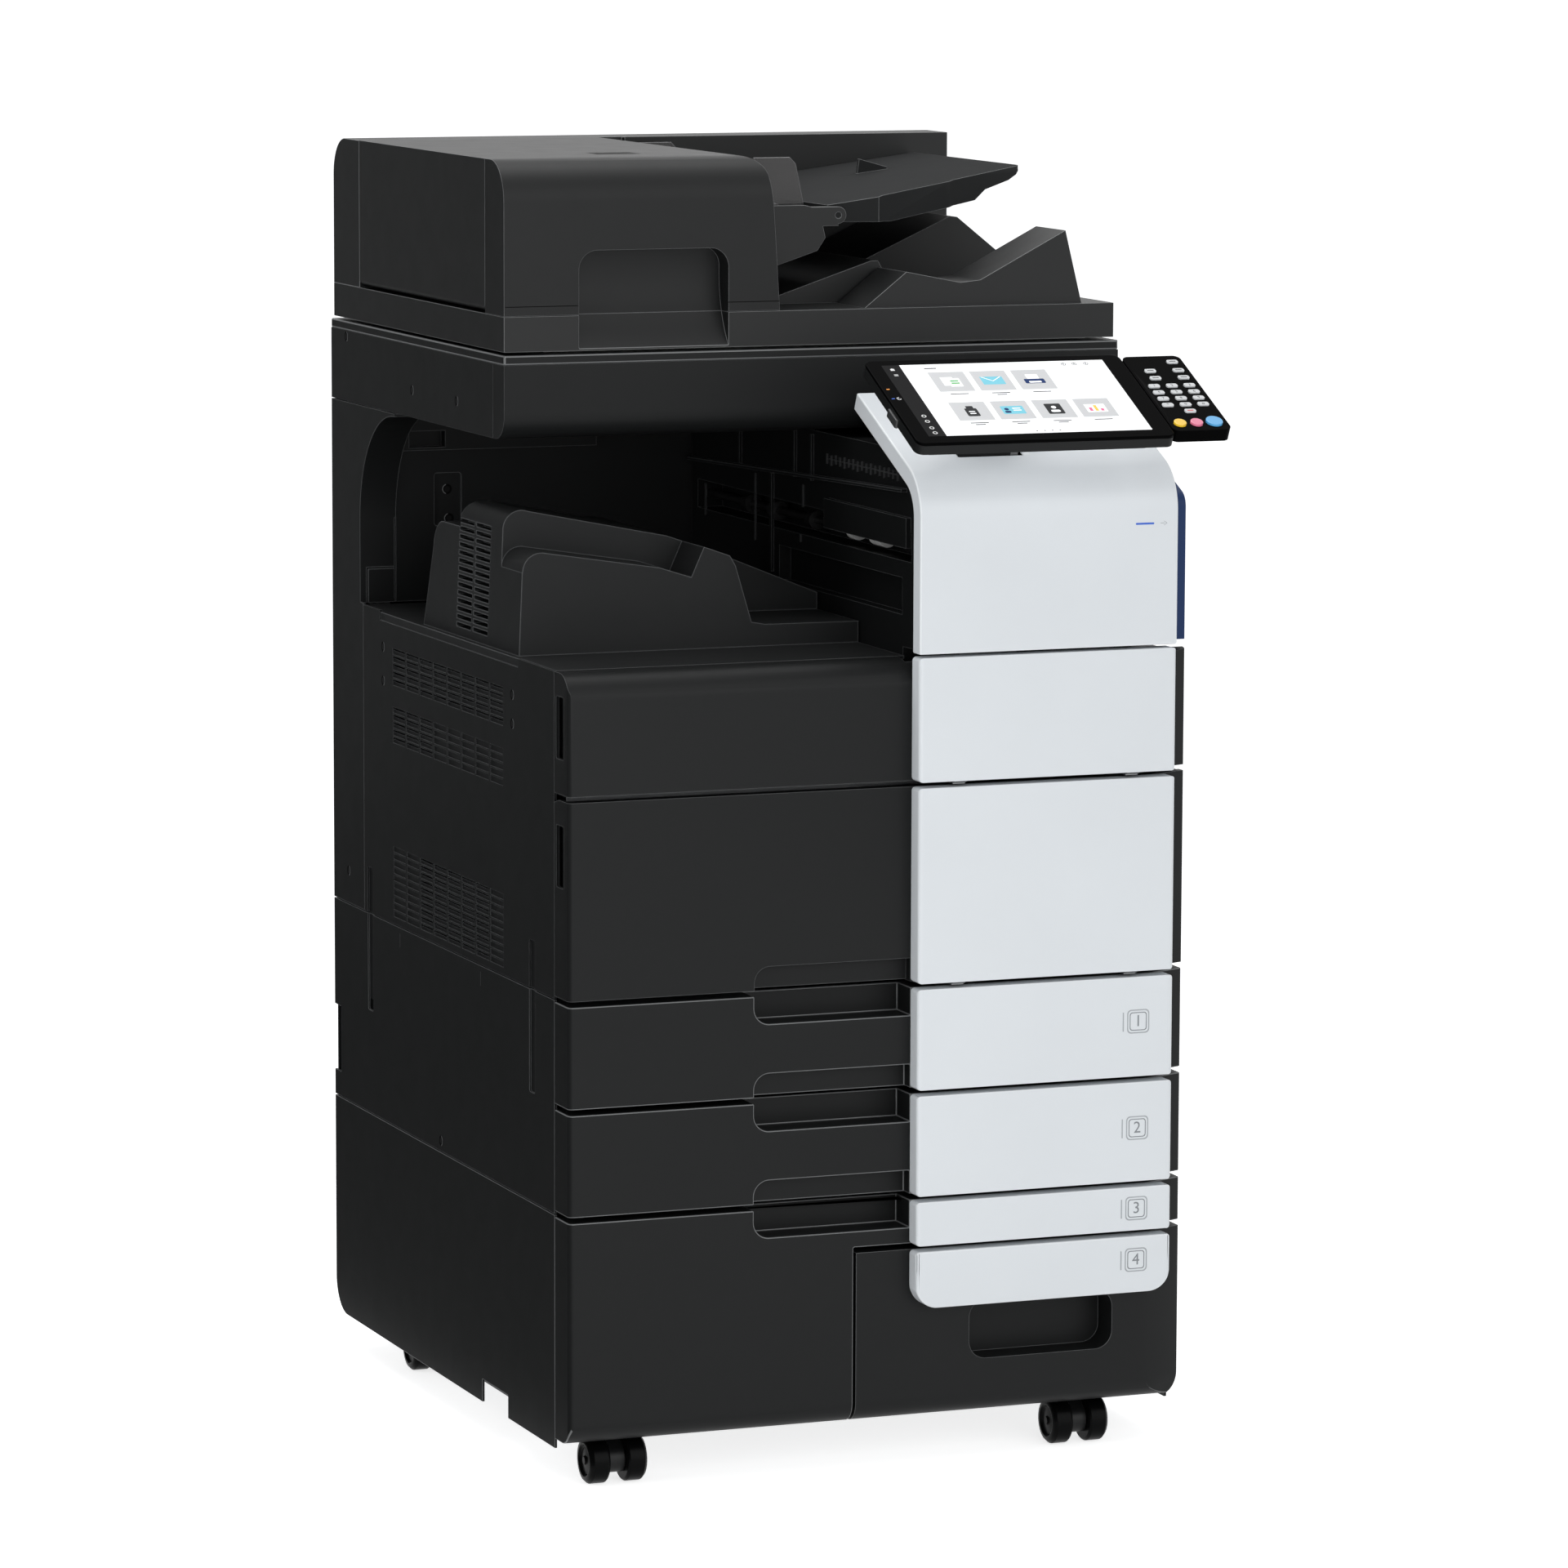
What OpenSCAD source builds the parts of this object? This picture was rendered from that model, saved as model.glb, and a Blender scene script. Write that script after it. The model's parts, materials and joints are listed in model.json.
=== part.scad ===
// Floor-standing colour photocopier with four paper drawers, an output bay, a flatbed
// scanner, a document feeder as its lid and a tilting touch panel.
// Lengths are in millimetres. Modules place their shapes from the cabinet's left face (x),
// the plane of the black front covers (y) and the lower edge of the front skirt (z), and
// stand() moves them to the middle of the floor under the machine.

/* [Cabinet] */
// Width of the cabinet
body_w = 615; // [605:1:640]
// Depth from the front covers to the back cover
body_d = 694; // [690:1:720]
// Height of the front skirt above the floor
skirt_h = 46; // [46:1:52]
// Thickness of the moulded side and back covers
cover_t = 2.5; // [2:0.1:3.5]
// Depth of the door and drawer fronts, where the side covers begin
strip_d = 38.5; // [36:0.5:40]
// How far the side covers hang below the skirt
cover_drop = 9; // [5:1:12]

/* [Front seams] */
// Height of the seam above drawer 4
tray4_top = 163.3; // [160:0.5:170]
// Height of the seam above drawer 3
base_top = 210; // [206:0.5:216]
// Height of the seam above drawer 2
tray2_top = 309.5; // [306:0.5:314]
// Height of the seam above drawer 1
tray1_top = 409; // [405:0.5:413]
// Height of the seam between the two front doors
door_split = 595.8; // [590:0.5:600]
// Height of the deck in the output bay
deck_z = 709; // [705:0.5:714]
// Width of a seam
seam = 5.4; // [4.8:0.1:5.6]

/* [Front covers] */
// Wall of the door and drawer fronts
front_t = 3; // [2.5:0.1:3.5]
// Left edge of the white panels
panel_x0 = 334; // [330:1:340]
// Gap from the white panels to the right face
panel_gap = 23.5; // [21:0.5:29]
// How far the white panels stand out
panel_out = 18; // [17:0.5:19]
// Rounding of the white panels' edges
panel_r = 4; // [3:0.5:5]
// Width of the bend at the right end of the fronts
bend_w = 41; // [35:1:47]
// How far the right end bends back
bend_y = 17; // [12:1:20]
// Rounding of the skirt's lower front edge
skirt_r = 20; // [14:1:24]
// Left edge of the handle pockets of drawers 1 to 3
pocket_x = 180; // [160:1:200]
// Height of a handle pocket below its seam
pocket_h = 26; // [22:1:28]
// Depth of a handle pocket
pocket_d = 32; // [24:1:33]
// Height of the finger scoop above a handle pocket
scoop_h = 22; // [18:1:26]
// Depth of the finger scoop
scoop_d = 14; // [10:1:16]
// Corner rounding of pockets and scoops
pocket_r = 15; // [10:1:17]
// Left edge of drawer 4
tray4_x = 280; // [272:1:290]

/* [Chassis] */
// Gap from the left face to the left side plate
side_gap = 14; // [12:1:16]
// Gap from the right face to the right side plate
right_gap = 28; // [27:1:32]
// Thickness of the chassis plates
plate_t = 2; // [1.5:0.5:3]
// Width of a drawer rail
rail_w = 14; // [12:1:16]
// Length of the drawer bins
bin_l = 480; // [440:5:520]
// Wall of the drawer bins
bin_t = 2.5; // [2:0.5:3]
// Running clearance of slides
slide_gap = 0.3; // [0.2:0.1:0.5]
// Radial clearance of pins in their bores
pin_gap = 0.05; // [0.03:0.01:0.08]

/* [Output bay and column] */
// Height of the underside of the scanner
bay_top = 906; // [900:1:915]
// Front face of the output tray
tray_y = 155; // [148:1:165]
// Distance from the bay's rear wall to the back cover
bay_rear = 87; // [82:1:94]
// Slope of the white column's top
column_a = 24.5; // [22:0.5:26]
// Height where the column's front and slope would meet
column_z = 872.4; // [868:0.5:876]
// Bend radius of the column cover
column_r = 50; // [46:1:56]
// Thickness of the column cover's rim
column_t = 17.5; // [15:0.5:18]
// Rear end of the column cover
column_y = 143; // [136:1:148]

/* [Scanner and feeder] */
// Front face of the scanner and the feeder
scan_y = 175; // [172:1:182]
// Height of the scanner
scan_h = 78; // [74:1:84]
// Gap between the scanner and the lid
lid_gap = 3; // [3:0.5:4]
// Height of the feeder's base
lid_h = 32.5; // [30:0.5:36]
// Height of the whole feeder
feeder_h = 175; // [170:1:180]
// Right end of the feed housing
feed_x = 271; // [266:1:276]
// Front seam of the opening feed cover
cover_y0 = 228; // [224:1:232]
// Distance from the rear seam of the feed cover to the back
cover_rear = 91; // [88:1:94]
// Distance from the front face of the feeder's rear wall to the back
wall_rear = 99; // [97:1:102]
// Slope of the document tray
doc_a = 7.5; // [6:0.5:9]

/* [Control panel] */
// Left edge of the panel
panel_left = 296; // [290:1:300]
// Width of the panel
touch_w = 254; // [250:1:256]
// Height of the panel's face
touch_h = 148; // [144:1:152]
// Tilt of the panel's face at rest
touch_a = 25.7; // [22:0.1:28]
// Distance of the panel's upper edge behind the front covers
touch_y = 30; // [26:1:34]
// Height of the panel's upper edge
touch_z = 982.4; // [978:0.5:988]
// Thickness of the panel at its rim
touch_t = 12; // [10:1:14]
// Width of the keypad
keypad_w = 58.5; // [56:0.5:60]
// Height of the keypad's face
keypad_h = 135; // [130:1:140]
// Travel of the keys
key_travel = 1.2; // [0.8:0.1:1.5]
// Clearance round the keys
key_gap = 0.35; // [0.3:0.05:0.5]

/* [Casters] */
// Diameter of the caster wheels
wheel_d = 44; // [40:1:45]
// Width of one wheel of a pair
wheel_w = 20; // [18:1:21]
// Distance from the swivel axis to the axle
trail = 18; // [14:1:20]

/* [Hidden] */
$fn = 48;

// Colours
black = "#26282a";
dark = "#3a3c3e";
white = "#dfe3e6";
steel = "#9aa0a4";

// Extents worked out from the driving sizes
front_reach = touch_h * cos(touch_a) - touch_y;
panel_x1 = body_w - panel_gap;
bend_x = body_w - bend_w;
bay_back = body_d - bay_rear;
cover_y1 = body_d - cover_rear;
wall_y = body_d - wall_rear;
engine_h = door_split - tray1_top;
scan_top = bay_top + scan_h;
lid_z = scan_top + lid_gap;
lid_top = lid_z + lid_h;
feeder_top = lid_z + feeder_h;
cover_z = lid_top + 2;
front_z = lid_top + 0.5;
half = seam / 2;
eps = 0.01;
fit = 0.05;

// Chassis faces
in_x0 = side_gap + plate_t;
in_x1 = body_w - right_gap - plate_t;
back_y = body_d - 8;
deck_plate = deck_z - 19;
frame_y = strip_d + 7.5;
divider_x = tray4_x + 1;
shelf_drop = 0.6;
arm_t = 2.4;

// Moves a shape from cabinet places to the frame under the machine
module stand() {
    translate([-body_w / 2, -(body_d - front_reach) / 2, skirt_h]) children();
}

// Basic shapes between two corners or along an axis
module block(x0, x1, y0, y1, z0, z1) {
    translate([x0, y0, z0]) cube([x1 - x0, y1 - y0, z1 - z0]);
}
module rect(x0, y0, x1, y1) { translate([x0, y0]) square([x1 - x0, y1 - y0]); }
module round_rect(x0, y0, x1, y1, r) {
    rect(x0 + r, y0, x1 - r, y1);
    rect(x0, y0 + r, x1, y1 - r);
    for (x = [x0 + r, x1 - r], y = [y0 + r, y1 - r]) translate([x, y]) circle(r);
}
module along_x(x0, x1) {
    translate([x0, 0, 0]) rotate([90, 0, 90]) linear_extrude(x1 - x0) children();
}
module along_y(y0, y1) {
    translate([0, y1, 0]) rotate([90, 0, 0]) linear_extrude(y1 - y0) children();
}
module along_z(z0, z1) { translate([0, 0, z0]) linear_extrude(z1 - z0) children(); }
module rod_x(x0, x1, y, z, r) { along_x(x0, x1) translate([y, z]) circle(r); }
module rod_y(y0, y1, x, z, r) { along_y(y0, y1) translate([x, z]) circle(r); }
module rod_z(z0, z1, x, y, r) { along_z(z0, z1) translate([x, y]) circle(r); }

// Rows of ventilation slots as a flat pattern
module slots(u0, u1, v0, v1, columns, rows, bar_u, bar_v) {
    pitch_u = (u1 - u0 + bar_u) / columns;
    pitch_v = (v1 - v0 + bar_v) / rows;
    for (i = [0:columns - 1], j = [0:rows - 1])
        translate([u0 + i * pitch_u, v0 + j * pitch_v]) square([pitch_u - bar_u, pitch_v - bar_v]);
}

// Chassis: pan, side and rear plates, shelves, rails, scanner posts and the panel neck. Each stays a
// plate of its own, set against its neighbours with a hair's gap
caster_x0 = 58;
caster_x1 = body_w - 94;
caster_y0 = 45 + trail;
caster_y1 = body_d - 138 + trail;
pan_z0 = 2;
pan_z1 = pan_z0 + 3;
socket_r = 11;
socket_h = 22;
stem_r = 5.5;
bin_z = pan_z1 + socket_h + 5;
rail_rise = 16;
rail_h = 4;
process_z = tray1_top + 0.375 * engine_h;
neck_x0 = panel_left + 84;
neck_x1 = neck_x0 + 84;
neck_y0 = 34;
neck_y1 = 62;
hinge_y = 40;
hinge_z = touch_z - 37;
neck_r = 9;
neck_pin_r = 4;
post_left_x = 35;
post_w = 12;
inlet_x = 90;
inlet_z = 60;

function caster_spots() = [[caster_x0, caster_y0], [caster_x1, caster_y0],
                           [caster_x0, caster_y1], [caster_x1, caster_y1]];

module rail(x0, x1, flange_z) {
    block(x0, x1, frame_y, back_y - fit, flange_z - slide_gap - rail_h, flange_z - slide_gap);
}
module shelf(z, y0) { block(in_x0 + fit, in_x1 - fit, y0, back_y - fit, z, z + plate_t); }

module chassis() color(steel) {
    difference() {
        union() {
            block(side_gap, body_w - right_gap, frame_y, back_y + plate_t, pan_z0, pan_z1);
            for (p = caster_spots()) rod_z(pan_z1 + fit, pan_z1 + socket_h, p[0], p[1], socket_r);
        }
        for (p = caster_spots())
            rod_z(pan_z0 - 1, pan_z1 + socket_h - plate_t, p[0], p[1], stem_r + pin_gap);
    }
    block(side_gap, in_x0, frame_y, back_y + plate_t, pan_z1 + fit, deck_plate);
    right_plates();
    block(in_x0 + fit, in_x1 - fit, back_y, back_y + plate_t, inlet_z + 30, deck_plate);
    for (z = [base_top, tray1_top, door_split]) shelf(z - shelf_drop - plate_t, frame_y);
    shelf(process_z, frame_y + plate_t + fit);
    shelf(deck_plate - plate_t, frame_y);
    block(divider_x, divider_x + plate_t, frame_y, back_y - fit, pan_z1 + fit,
          base_top - shelf_drop - plate_t - fit);
    for (z = [base_top, tray2_top]) {
        rail(in_x0 + fit, in_x0 + rail_w, z + half + rail_rise);
        rail(in_x1 - rail_w, in_x1 - fit, z + half + rail_rise);
    }
    for (x = [in_x0, divider_x + plate_t]) rail(x + fit, x + rail_w, bin_z + rail_rise);
    for (x = [divider_x, in_x1]) rail(x - rail_w, x - fit, bin_z + rail_rise);
    inner_front();
    scanner_posts();
    panel_neck();
}
// Right side: plates round the two windows of the paper path
path_y0 = frame_y + 44;
path_y1 = body_d - 174;
path_z = [tray1_top + 24, process_z - 12, process_z + 14, door_split - 14];
module right_plates() {
    x0 = in_x1;
    x1 = body_w - right_gap;
    block(x0, x1, frame_y, back_y + plate_t, pan_z1 + fit, path_z[0]);
    block(x0, x1, frame_y, path_y0, path_z[0] + fit, path_z[3]);
    block(x0, x1, path_y1, back_y + plate_t, path_z[0] + fit, path_z[3]);
    block(x0, x1, path_y0 + fit, path_y1 - fit, path_z[1], path_z[2]);
    block(x0, x1, frame_y, back_y + plate_t, path_z[3] + fit, deck_plate);
}
// Bars behind the lower door, round the service window and the ends of the drum units
module front_bar(x0, x1, z0, z1) block(x0, x1, frame_y, frame_y + plate_t, z0, z1);
module inner_front() {
    x0 = in_x0 + fit;
    x1 = in_x1 - fit;
    drum_z0 = process_z + plate_t;
    drum_z1 = drum_z0 + drum_h + 7;
    front_bar(x0, x1, tray1_top + 4, tray1_top + 16);
    front_bar(x0, in_x0 + 40, tray1_top + 16 + fit, process_z - 10 - fit);
    front_bar(in_x1 - 60, x1, tray1_top + 16 + fit, process_z - 10 - fit);
    front_bar(x0, x1, process_z - 10, drum_z0 - fit);
    front_bar(x0, drum_x(0) - drum_w - 4, drum_z0, drum_z1);
    for (i = [0:2]) front_bar(drum_x(i) + drum_w + 4, drum_x(i + 1) - drum_w - 4, drum_z0, drum_z1);
    front_bar(drum_x(3) + drum_w + 4, x1, drum_z0, drum_z1);
    front_bar(x0, x1, drum_z1 + fit, door_split - shelf_drop - plate_t - fit);
}
module scanner_posts() {
    block(side_gap, post_left_x, bay_back + 12, back_y + plate_t, deck_plate + fit, bay_top);
    block(body_w - right_gap - post_w, body_w - right_gap, scan_y + 40, back_y + plate_t, deck_plate + fit,
          bay_top);
}
module panel_neck() {
    // The upright stands on the deck plate inside the column and ends in two hinge ears
    foot_z = deck_plate + 8;
    ear_z = hinge_z - 25;
    block(neck_x0, neck_x1, neck_y0, neck_y1 + 4, deck_plate + fit, foot_z);
    block(neck_x0 + 12, neck_x1 - 12, neck_y0, neck_y1, foot_z + fit, ear_z - fit);
    for (x = [neck_x0 + 12, neck_x1 - 24]) difference() {
        union() {
            block(x, x + 12, hinge_y - neck_r + 3, neck_y1, ear_z, hinge_z);
            rod_x(x, x + 12, hinge_y, hinge_z, neck_r);
        }
        rod_x(x - 1, x + 13, hinge_y, hinge_z, neck_pin_r + pin_gap);
    }
}

// Covers on the left, back and right
cover_y = strip_d + 1;
pillar_y = body_d - 97;
pillar_r = 108;
skirt_notch = [170, 244];
boss_r = 6;

// Bosses on the inside of a left cover, which reach the chassis at [y, z] places
module left_bosses(spots) for (p = spots) rod_x(cover_t - eps, side_gap, p[0], p[1], boss_r);

module left_base_cover() color(black) {
    along_x(0, cover_t) difference() {
        union() {
            rect(cover_y, -cover_drop, body_d - 35, base_top - half / 2);
            rect(cover_y, 26, body_d, base_top - half / 2);
            translate([body_d - 35, 26]) circle(35);
        }
        rect(skirt_notch[0], -cover_drop - 1, skirt_notch[1], 13);
    }
    left_bosses([for (y = [80, body_d - 60], z = [40, base_top - 30]) [y, z]]);
}
module left_lower_cover() color(black) difference() {
    union() {
        along_x(0, cover_t) difference() {
            rect(cover_y, base_top, body_d, tray1_top - half / 2);
            rect(body_d - 20, 235, body_d + 1, 301);
        }
        left_bosses([for (y = [150, 364, body_d - 74], z = [base_top + 12, tray1_top - 24]) [y, z]]);
    }
    side_channels();
}
vent_y0 = 180;
vent_y1 = pillar_y - 92;
vent_bar = 4;
vent_rib = 1.6;
vent_slit = 2.2;
// Grille of shallow cells in eight columns; those of the open columns are slit through along their tops
module vent(z0, z1, rows, open) {
    pitch_y = (vent_y1 - vent_y0 + vent_bar) / 8;
    pitch_z = (z1 - z0 + vent_rib) / rows;
    along_x(-1, 0.9) slots(vent_y0, vent_y1, z0, z1, 8, rows, vent_bar, vent_rib);
    along_x(-1, cover_t + 1) for (i = open, j = [0:rows - 1])
        translate([vent_y0 + i * pitch_y, z0 + (j + 1) * pitch_z - vent_rib - vent_slit])
            square([pitch_y - vent_bar, vent_slit]);
}
module left_upper_cover() color(black) difference() {
    union() {
        along_x(0, cover_t) {
            rect(cover_y, tray1_top, pillar_y - 1, deck_z - 8);
            rect(cover_y, tray1_top, 138, deck_z);
            rect(pillar_y - 52, tray1_top, pillar_y - 1, deck_z + 2);
        }
        left_bosses([for (y = [vent_y0 - 25, vent_y1 + 30], z = [deck_z - 34, deck_z - 64]) [y, z]]);
        left_bosses([for (y = [130, pillar_y - 57]) [y, tray1_top + 30]]);
    }
    vent(deck_z - 67, deck_z - 31, 5, [0:7]);
    vent(deck_z - 123, deck_z - 88, 5, [5:7]);
    vent(tray1_top + 7, tray1_top + 76, 10, [1:5]);
    side_channels();
}
// Shallow upright grooves where the two left covers overlap
module side_channels() {
    for (y = [100, pillar_y - 19]) along_x(-1, 1.7)
        round_rect(y - 8, tray1_top - 97, y + 8, tray1_top + 45, 3);
}
module pillar_side() {
    difference() {
        union() {
            rect(pillar_y, tray1_top, body_d, deck_z + 3);
            rect(bay_back - 1, deck_z, body_d, bay_top - 1);
            rect(bay_back - pillar_r - 1, bay_top - pillar_r - 4, bay_back, bay_top - 1);
        }
        translate([bay_back - pillar_r - 1, bay_top - pillar_r - 4]) circle(pillar_r);
    }
}
foot_z = deck_z + 35;
ledge_z = bay_top - 46;
module rear_pillar_cover() color(black) {
    along_x(0, cover_t) pillar_side();
    left_bosses([[body_d - 48, tray1_top + 32], [body_d - 48, deck_plate - 30], [body_d - 48, bay_top - 60]]);
    // Front face of the pillar with its curved top, then the back wall of the bay with its recess and ledge
    along_x(0, post_left_x + 2) intersection() {
        difference() {
            translate([bay_back - pillar_r - 1, bay_top - pillar_r - 4]) circle(pillar_r + 2.5);
            translate([bay_back - pillar_r - 1, bay_top - pillar_r - 4]) circle(pillar_r);
        }
        rect(bay_back - pillar_r - 1, bay_top - pillar_r - 4, bay_back + 1.5, bay_top - 1.5);
    }
    difference() {
        union() {
            block(0, post_left_x + 2, bay_back - 1, bay_back + 1.5, deck_z + 2, bay_top - pillar_r);
            block(post_left_x - 5, body_w - right_gap - 14, bay_back, bay_back + 3, deck_z + 2, bay_top - 1);
        }
        along_y(bay_back - 1, bay_back + 2) round_rect(77, deck_z + 75, 105, deck_z + 127, 3);
        // Joint beside the pillar and round the cap at its foot
        block(post_left_x + 0.4, post_left_x + 2.2, bay_back - 2, bay_back + 1, deck_z, bay_top - pillar_r);
        block(6.5, post_left_x + 1, bay_back - 2, bay_back, foot_z, foot_z + 2);
        block(6.5, 8.5, bay_back - 2, bay_back, deck_z, foot_z + 1);
    }
    difference() {
        block(post_left_x, 240, bay_back - 16, bay_back + 1, ledge_z, bay_top - 1);
        block(46, 83, bay_back - 17, bay_back - 4, ledge_z + 3, ledge_z + 19);
    }
}
module rear_cover() color(black) {
    difference() {
        along_y(body_d - cover_t, body_d) difference() {
            union() {
                rect(cover_t + 0.5, 26, body_w - cover_t - 0.5, bay_top - 1);
                rect(35, -cover_drop, body_w - 35, 30);
            }
            slots(body_w * 0.195, body_w * 0.488, tray1_top + 61, tray1_top + 151, 3, 12, 8, 4);
            slots(body_w * 0.585, body_w * 0.846, door_split - 36, door_split + 44, 3, 11, 8, 4);
            round_rect(inlet_x - 16, inlet_z - 12, inlet_x + 16, inlet_z + 12, 3);
        }
        for (z = [base_top, tray1_top]) block(-1, body_w + 1, body_d - 1, body_d + 1, z - 0.8, z + 0.8);
    }
    for (x = [side_gap + 10, body_w - right_gap - 6],
         z = [inlet_z + 50, tray1_top - 30, deck_plate - 20, bay_top - 40])
        rod_y(back_y + plate_t, body_d - cover_t + eps, x, z, boss_r);
    // Mains inlet: socket with its three contact blades
    difference() {
        along_y(body_d - 20, body_d - 1)
            round_rect(inlet_x - 18, inlet_z - 14, inlet_x + 18, inlet_z + 14, 4);
        along_y(body_d - 17, body_d) round_rect(inlet_x - 14, inlet_z - 10, inlet_x + 14, inlet_z + 10, 3);
    }
    for (dx = [-8, 0, 8])
        block(inlet_x + dx - 1, inlet_x + dx + 1, body_d - 18, body_d - 5, inlet_z - 3, inlet_z + 3);
}

door_z0 = tray1_top + half;
right_door_y1 = body_d - 136;
right_door_z1 = deck_z - 6;
right_axis_x = body_w - 6;
right_axis_y = right_door_y1 - 6;
right_pin_r = 3;
module right_lower_cover() color(black) difference() {
    union() {
        along_x(body_w - cover_t, body_w) union() {
            rect(cover_y, -cover_drop, body_d - 35, tray1_top - half / 2);
            rect(cover_y, 26, body_d, tray1_top - half / 2);
            translate([body_d - 35, 26]) circle(35);
            rect(right_door_y1 + 5, tray1_top - 5, body_d, deck_z);
        }
        // Flange with the lower pivot of the right door
        block(body_w - right_gap, body_w - 0.5, right_axis_y - 16, right_axis_y + 9,
              tray1_top - half / 2 - 8, tray1_top - half / 2);
    }
    rod_z(tray1_top - 30, tray1_top + 1, right_axis_x, right_axis_y, right_pin_r + pin_gap);
}

// Side outline of the column: upright front, bend and sloping top, moved in by inset
column_c = [-panel_out + column_r, column_z - column_r * tan(45 - column_a / 2)];
door_rise = 4.2;
column_z0 = deck_z + door_rise + 3.2;
module column_flat(inset, y_end) {
    touch = column_c + (column_r - inset) * [-sin(column_a), cos(column_a)];
    core = column_c + 2 * [-cos(column_a), sin(column_a)];
    z_end = touch[1] + (y_end - touch[0]) * tan(column_a);
    polygon([[-panel_out + inset, column_z0], [-panel_out + inset, column_c[1]], core, touch,
             [y_end, z_end], [y_end, column_z0]]);
}
module column_side(inset, y_end) {
    translate(column_c) circle(column_r - inset);
    column_flat(inset, y_end);
}
module column_block(x0, x1, inset, y_end) {
    rod_x(x0, x1, column_c[0], column_c[1], column_r - inset);
    along_x(x0, x1) column_flat(inset, y_end);
}
// A wall of that outline, with a square cut at its rear end
module column_wall(x0, x1, inset, thick) difference() {
    mid = column_c + (column_r - inset - thick / 2) * [-sin(column_a), cos(column_a)];
    run = (column_y - mid[0]) / cos(column_a);
    column_block(x0, x1, inset, column_y + 30);
    column_block(x0 - 1, x1 + 1, inset + thick, column_y + 31);
    block(x0 - 1, x1 + 1, -60, 400, column_z0 - 60, column_z0);
    translate([0, mid[0] + run * cos(column_a), mid[1] + run * sin(column_a)]) rotate([column_a, 0, 0])
        block(x0 - 1, x1 + 1, 0, 90, -60, 60);
}
module column_cover() color(white) difference() {
    column_wall(panel_x0, panel_x1, 0, column_t);
    // Hollow behind the skin between two ribs, and the opening for the panel's neck
    intersection() {
        difference() {
            column_wall(panel_x0 + front_t, panel_x1 - front_t, front_t, column_t + 10);
            for (x = [exit_x + 14, exit_x + 194])
                block(x, x + front_t, -panel_out, column_y, column_z0, column_z + 100);
        }
        block(panel_x0, panel_x1, -panel_out, column_y - 16, column_z0 + front_t, column_z + 90);
    }
    block(neck_x0 + 10, neck_x1 - 10, neck_y0 - 8, neck_y1 + 2, column_z - 40, column_z + 80);
}
// Right end of the column: a skin set back as far as the bent end of the fronts, and its side wall
side_inset = panel_out + bend_y;
module right_column_cover() color("#1d2a4a") difference() {
    union() {
        along_x(panel_x1 - front_t, panel_x1) intersection() {
            difference() {
                column_side(column_t + slide_gap, body_d);
                column_side(side_inset + 1, body_d + 1);
            }
            rect(-60, column_z0, 140, bay_top - 1);
        }
        along_x(panel_x1 - front_t, body_w) intersection() {
            difference() {
                column_side(side_inset, body_d);
                column_side(side_inset + front_t, body_d + 1);
            }
            rect(-60, column_z0, 140, bay_top - 1);
        }
        along_x(body_w - cover_t, body_w) intersection() {
            column_side(side_inset, body_d);
            rect(-60, column_z0, body_d, bay_top - 1);
        }
        block(body_w - right_gap, body_w - 0.5, right_axis_y - 16, right_axis_y + 9,
              column_z0, column_z0 + 8);
    }
    rod_z(column_z0 - 1, column_z0 + 9, right_axis_x, right_axis_y, right_pin_r + pin_gap);
}

// Output tray: deck on three bars, and a sloping hump with a step along its front and a vented end
hump_x = 7;
hump_lean = 4.5;
hump_y1 = bay_back - 176;
hump_r = 18;
bay_right = 343;
hump_top = deck_z + 129;
step_z = deck_z + 95;
step_d = 58;
low_d = 105;
module hump_profile() {
    polygon([[hump_x, deck_z + fit], [hump_x + hump_lean, hump_top - hump_r],
             [hump_x + hump_lean + hump_r, hump_top],
             [174, deck_z + 100], [259, deck_z + 70], [bay_right, deck_z + 36], [bay_right, deck_z + fit]]);
    translate([hump_x + hump_lean + hump_r, hump_top - hump_r]) circle(hump_r);
}
// End outline: upright front, and a rear end that rounds off, steps down and rounds off again
module hump_side() {
    y0 = hump_y1 - 119;
    y1 = hump_y1 - 47;
    rect(tray_y, deck_z, y0, hump_top + 1);
    rect(tray_y, deck_z, y0 + 21, hump_top - 21);
    translate([y0, hump_top - 21]) circle(21);
    polygon([[y0, deck_z], [y0, deck_z + 103], [y1, deck_z + 103], [y1 + 26, deck_z + 77],
             [hump_y1, deck_z]]);
    translate([y1, deck_z + 77]) circle(26);
}
module hump() difference() {
    intersection() {
        along_y(tray_y, hump_y1 + 5) hump_profile();
        along_x(0, bay_right + 1) hump_side();
    }
    // Step along the front, with a rounded left end below it
    along_y(tray_y - 1, tray_y + step_d) difference() {
        polygon([[0, step_z - hump_r], [hump_x + hump_r + hump_lean, step_z - hump_r],
            [hump_x + hump_r + hump_lean, step_z], [145, deck_z + 77], [176, deck_z + 67],
            [190, deck_z + 98], [190, deck_z + 140], [0, deck_z + 140]]);
        translate([hump_x + hump_lean + hump_r - 1, step_z - hump_r]) circle(hump_r);
    }
    // Low platform at the right
    along_y(tray_y - 1, tray_y + low_d) polygon([[206, deck_z + 100], [220, deck_z + 76], [236, deck_z + 23],
        [250, deck_z + 20.5], [bay_right + 1, deck_z + 20], [bay_right + 1, deck_z + 100]]);
    along_x(hump_x - 1, hump_x + 12)
        slots(tray_y + 90, tray_y + 180, deck_z + 9, deck_z + 111, 2, 14, 5, 3.6);
    // Hollow underside
    along_y(tray_y + 6, hump_y1 - 52) polygon([[hump_x + 14, deck_z - 1], [hump_x + 14, deck_z + 72],
        [168, deck_z + 56], [215, deck_z + 12], [bay_right - 8, deck_z + 8], [bay_right - 8, deck_z - 1]]);
}
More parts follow.
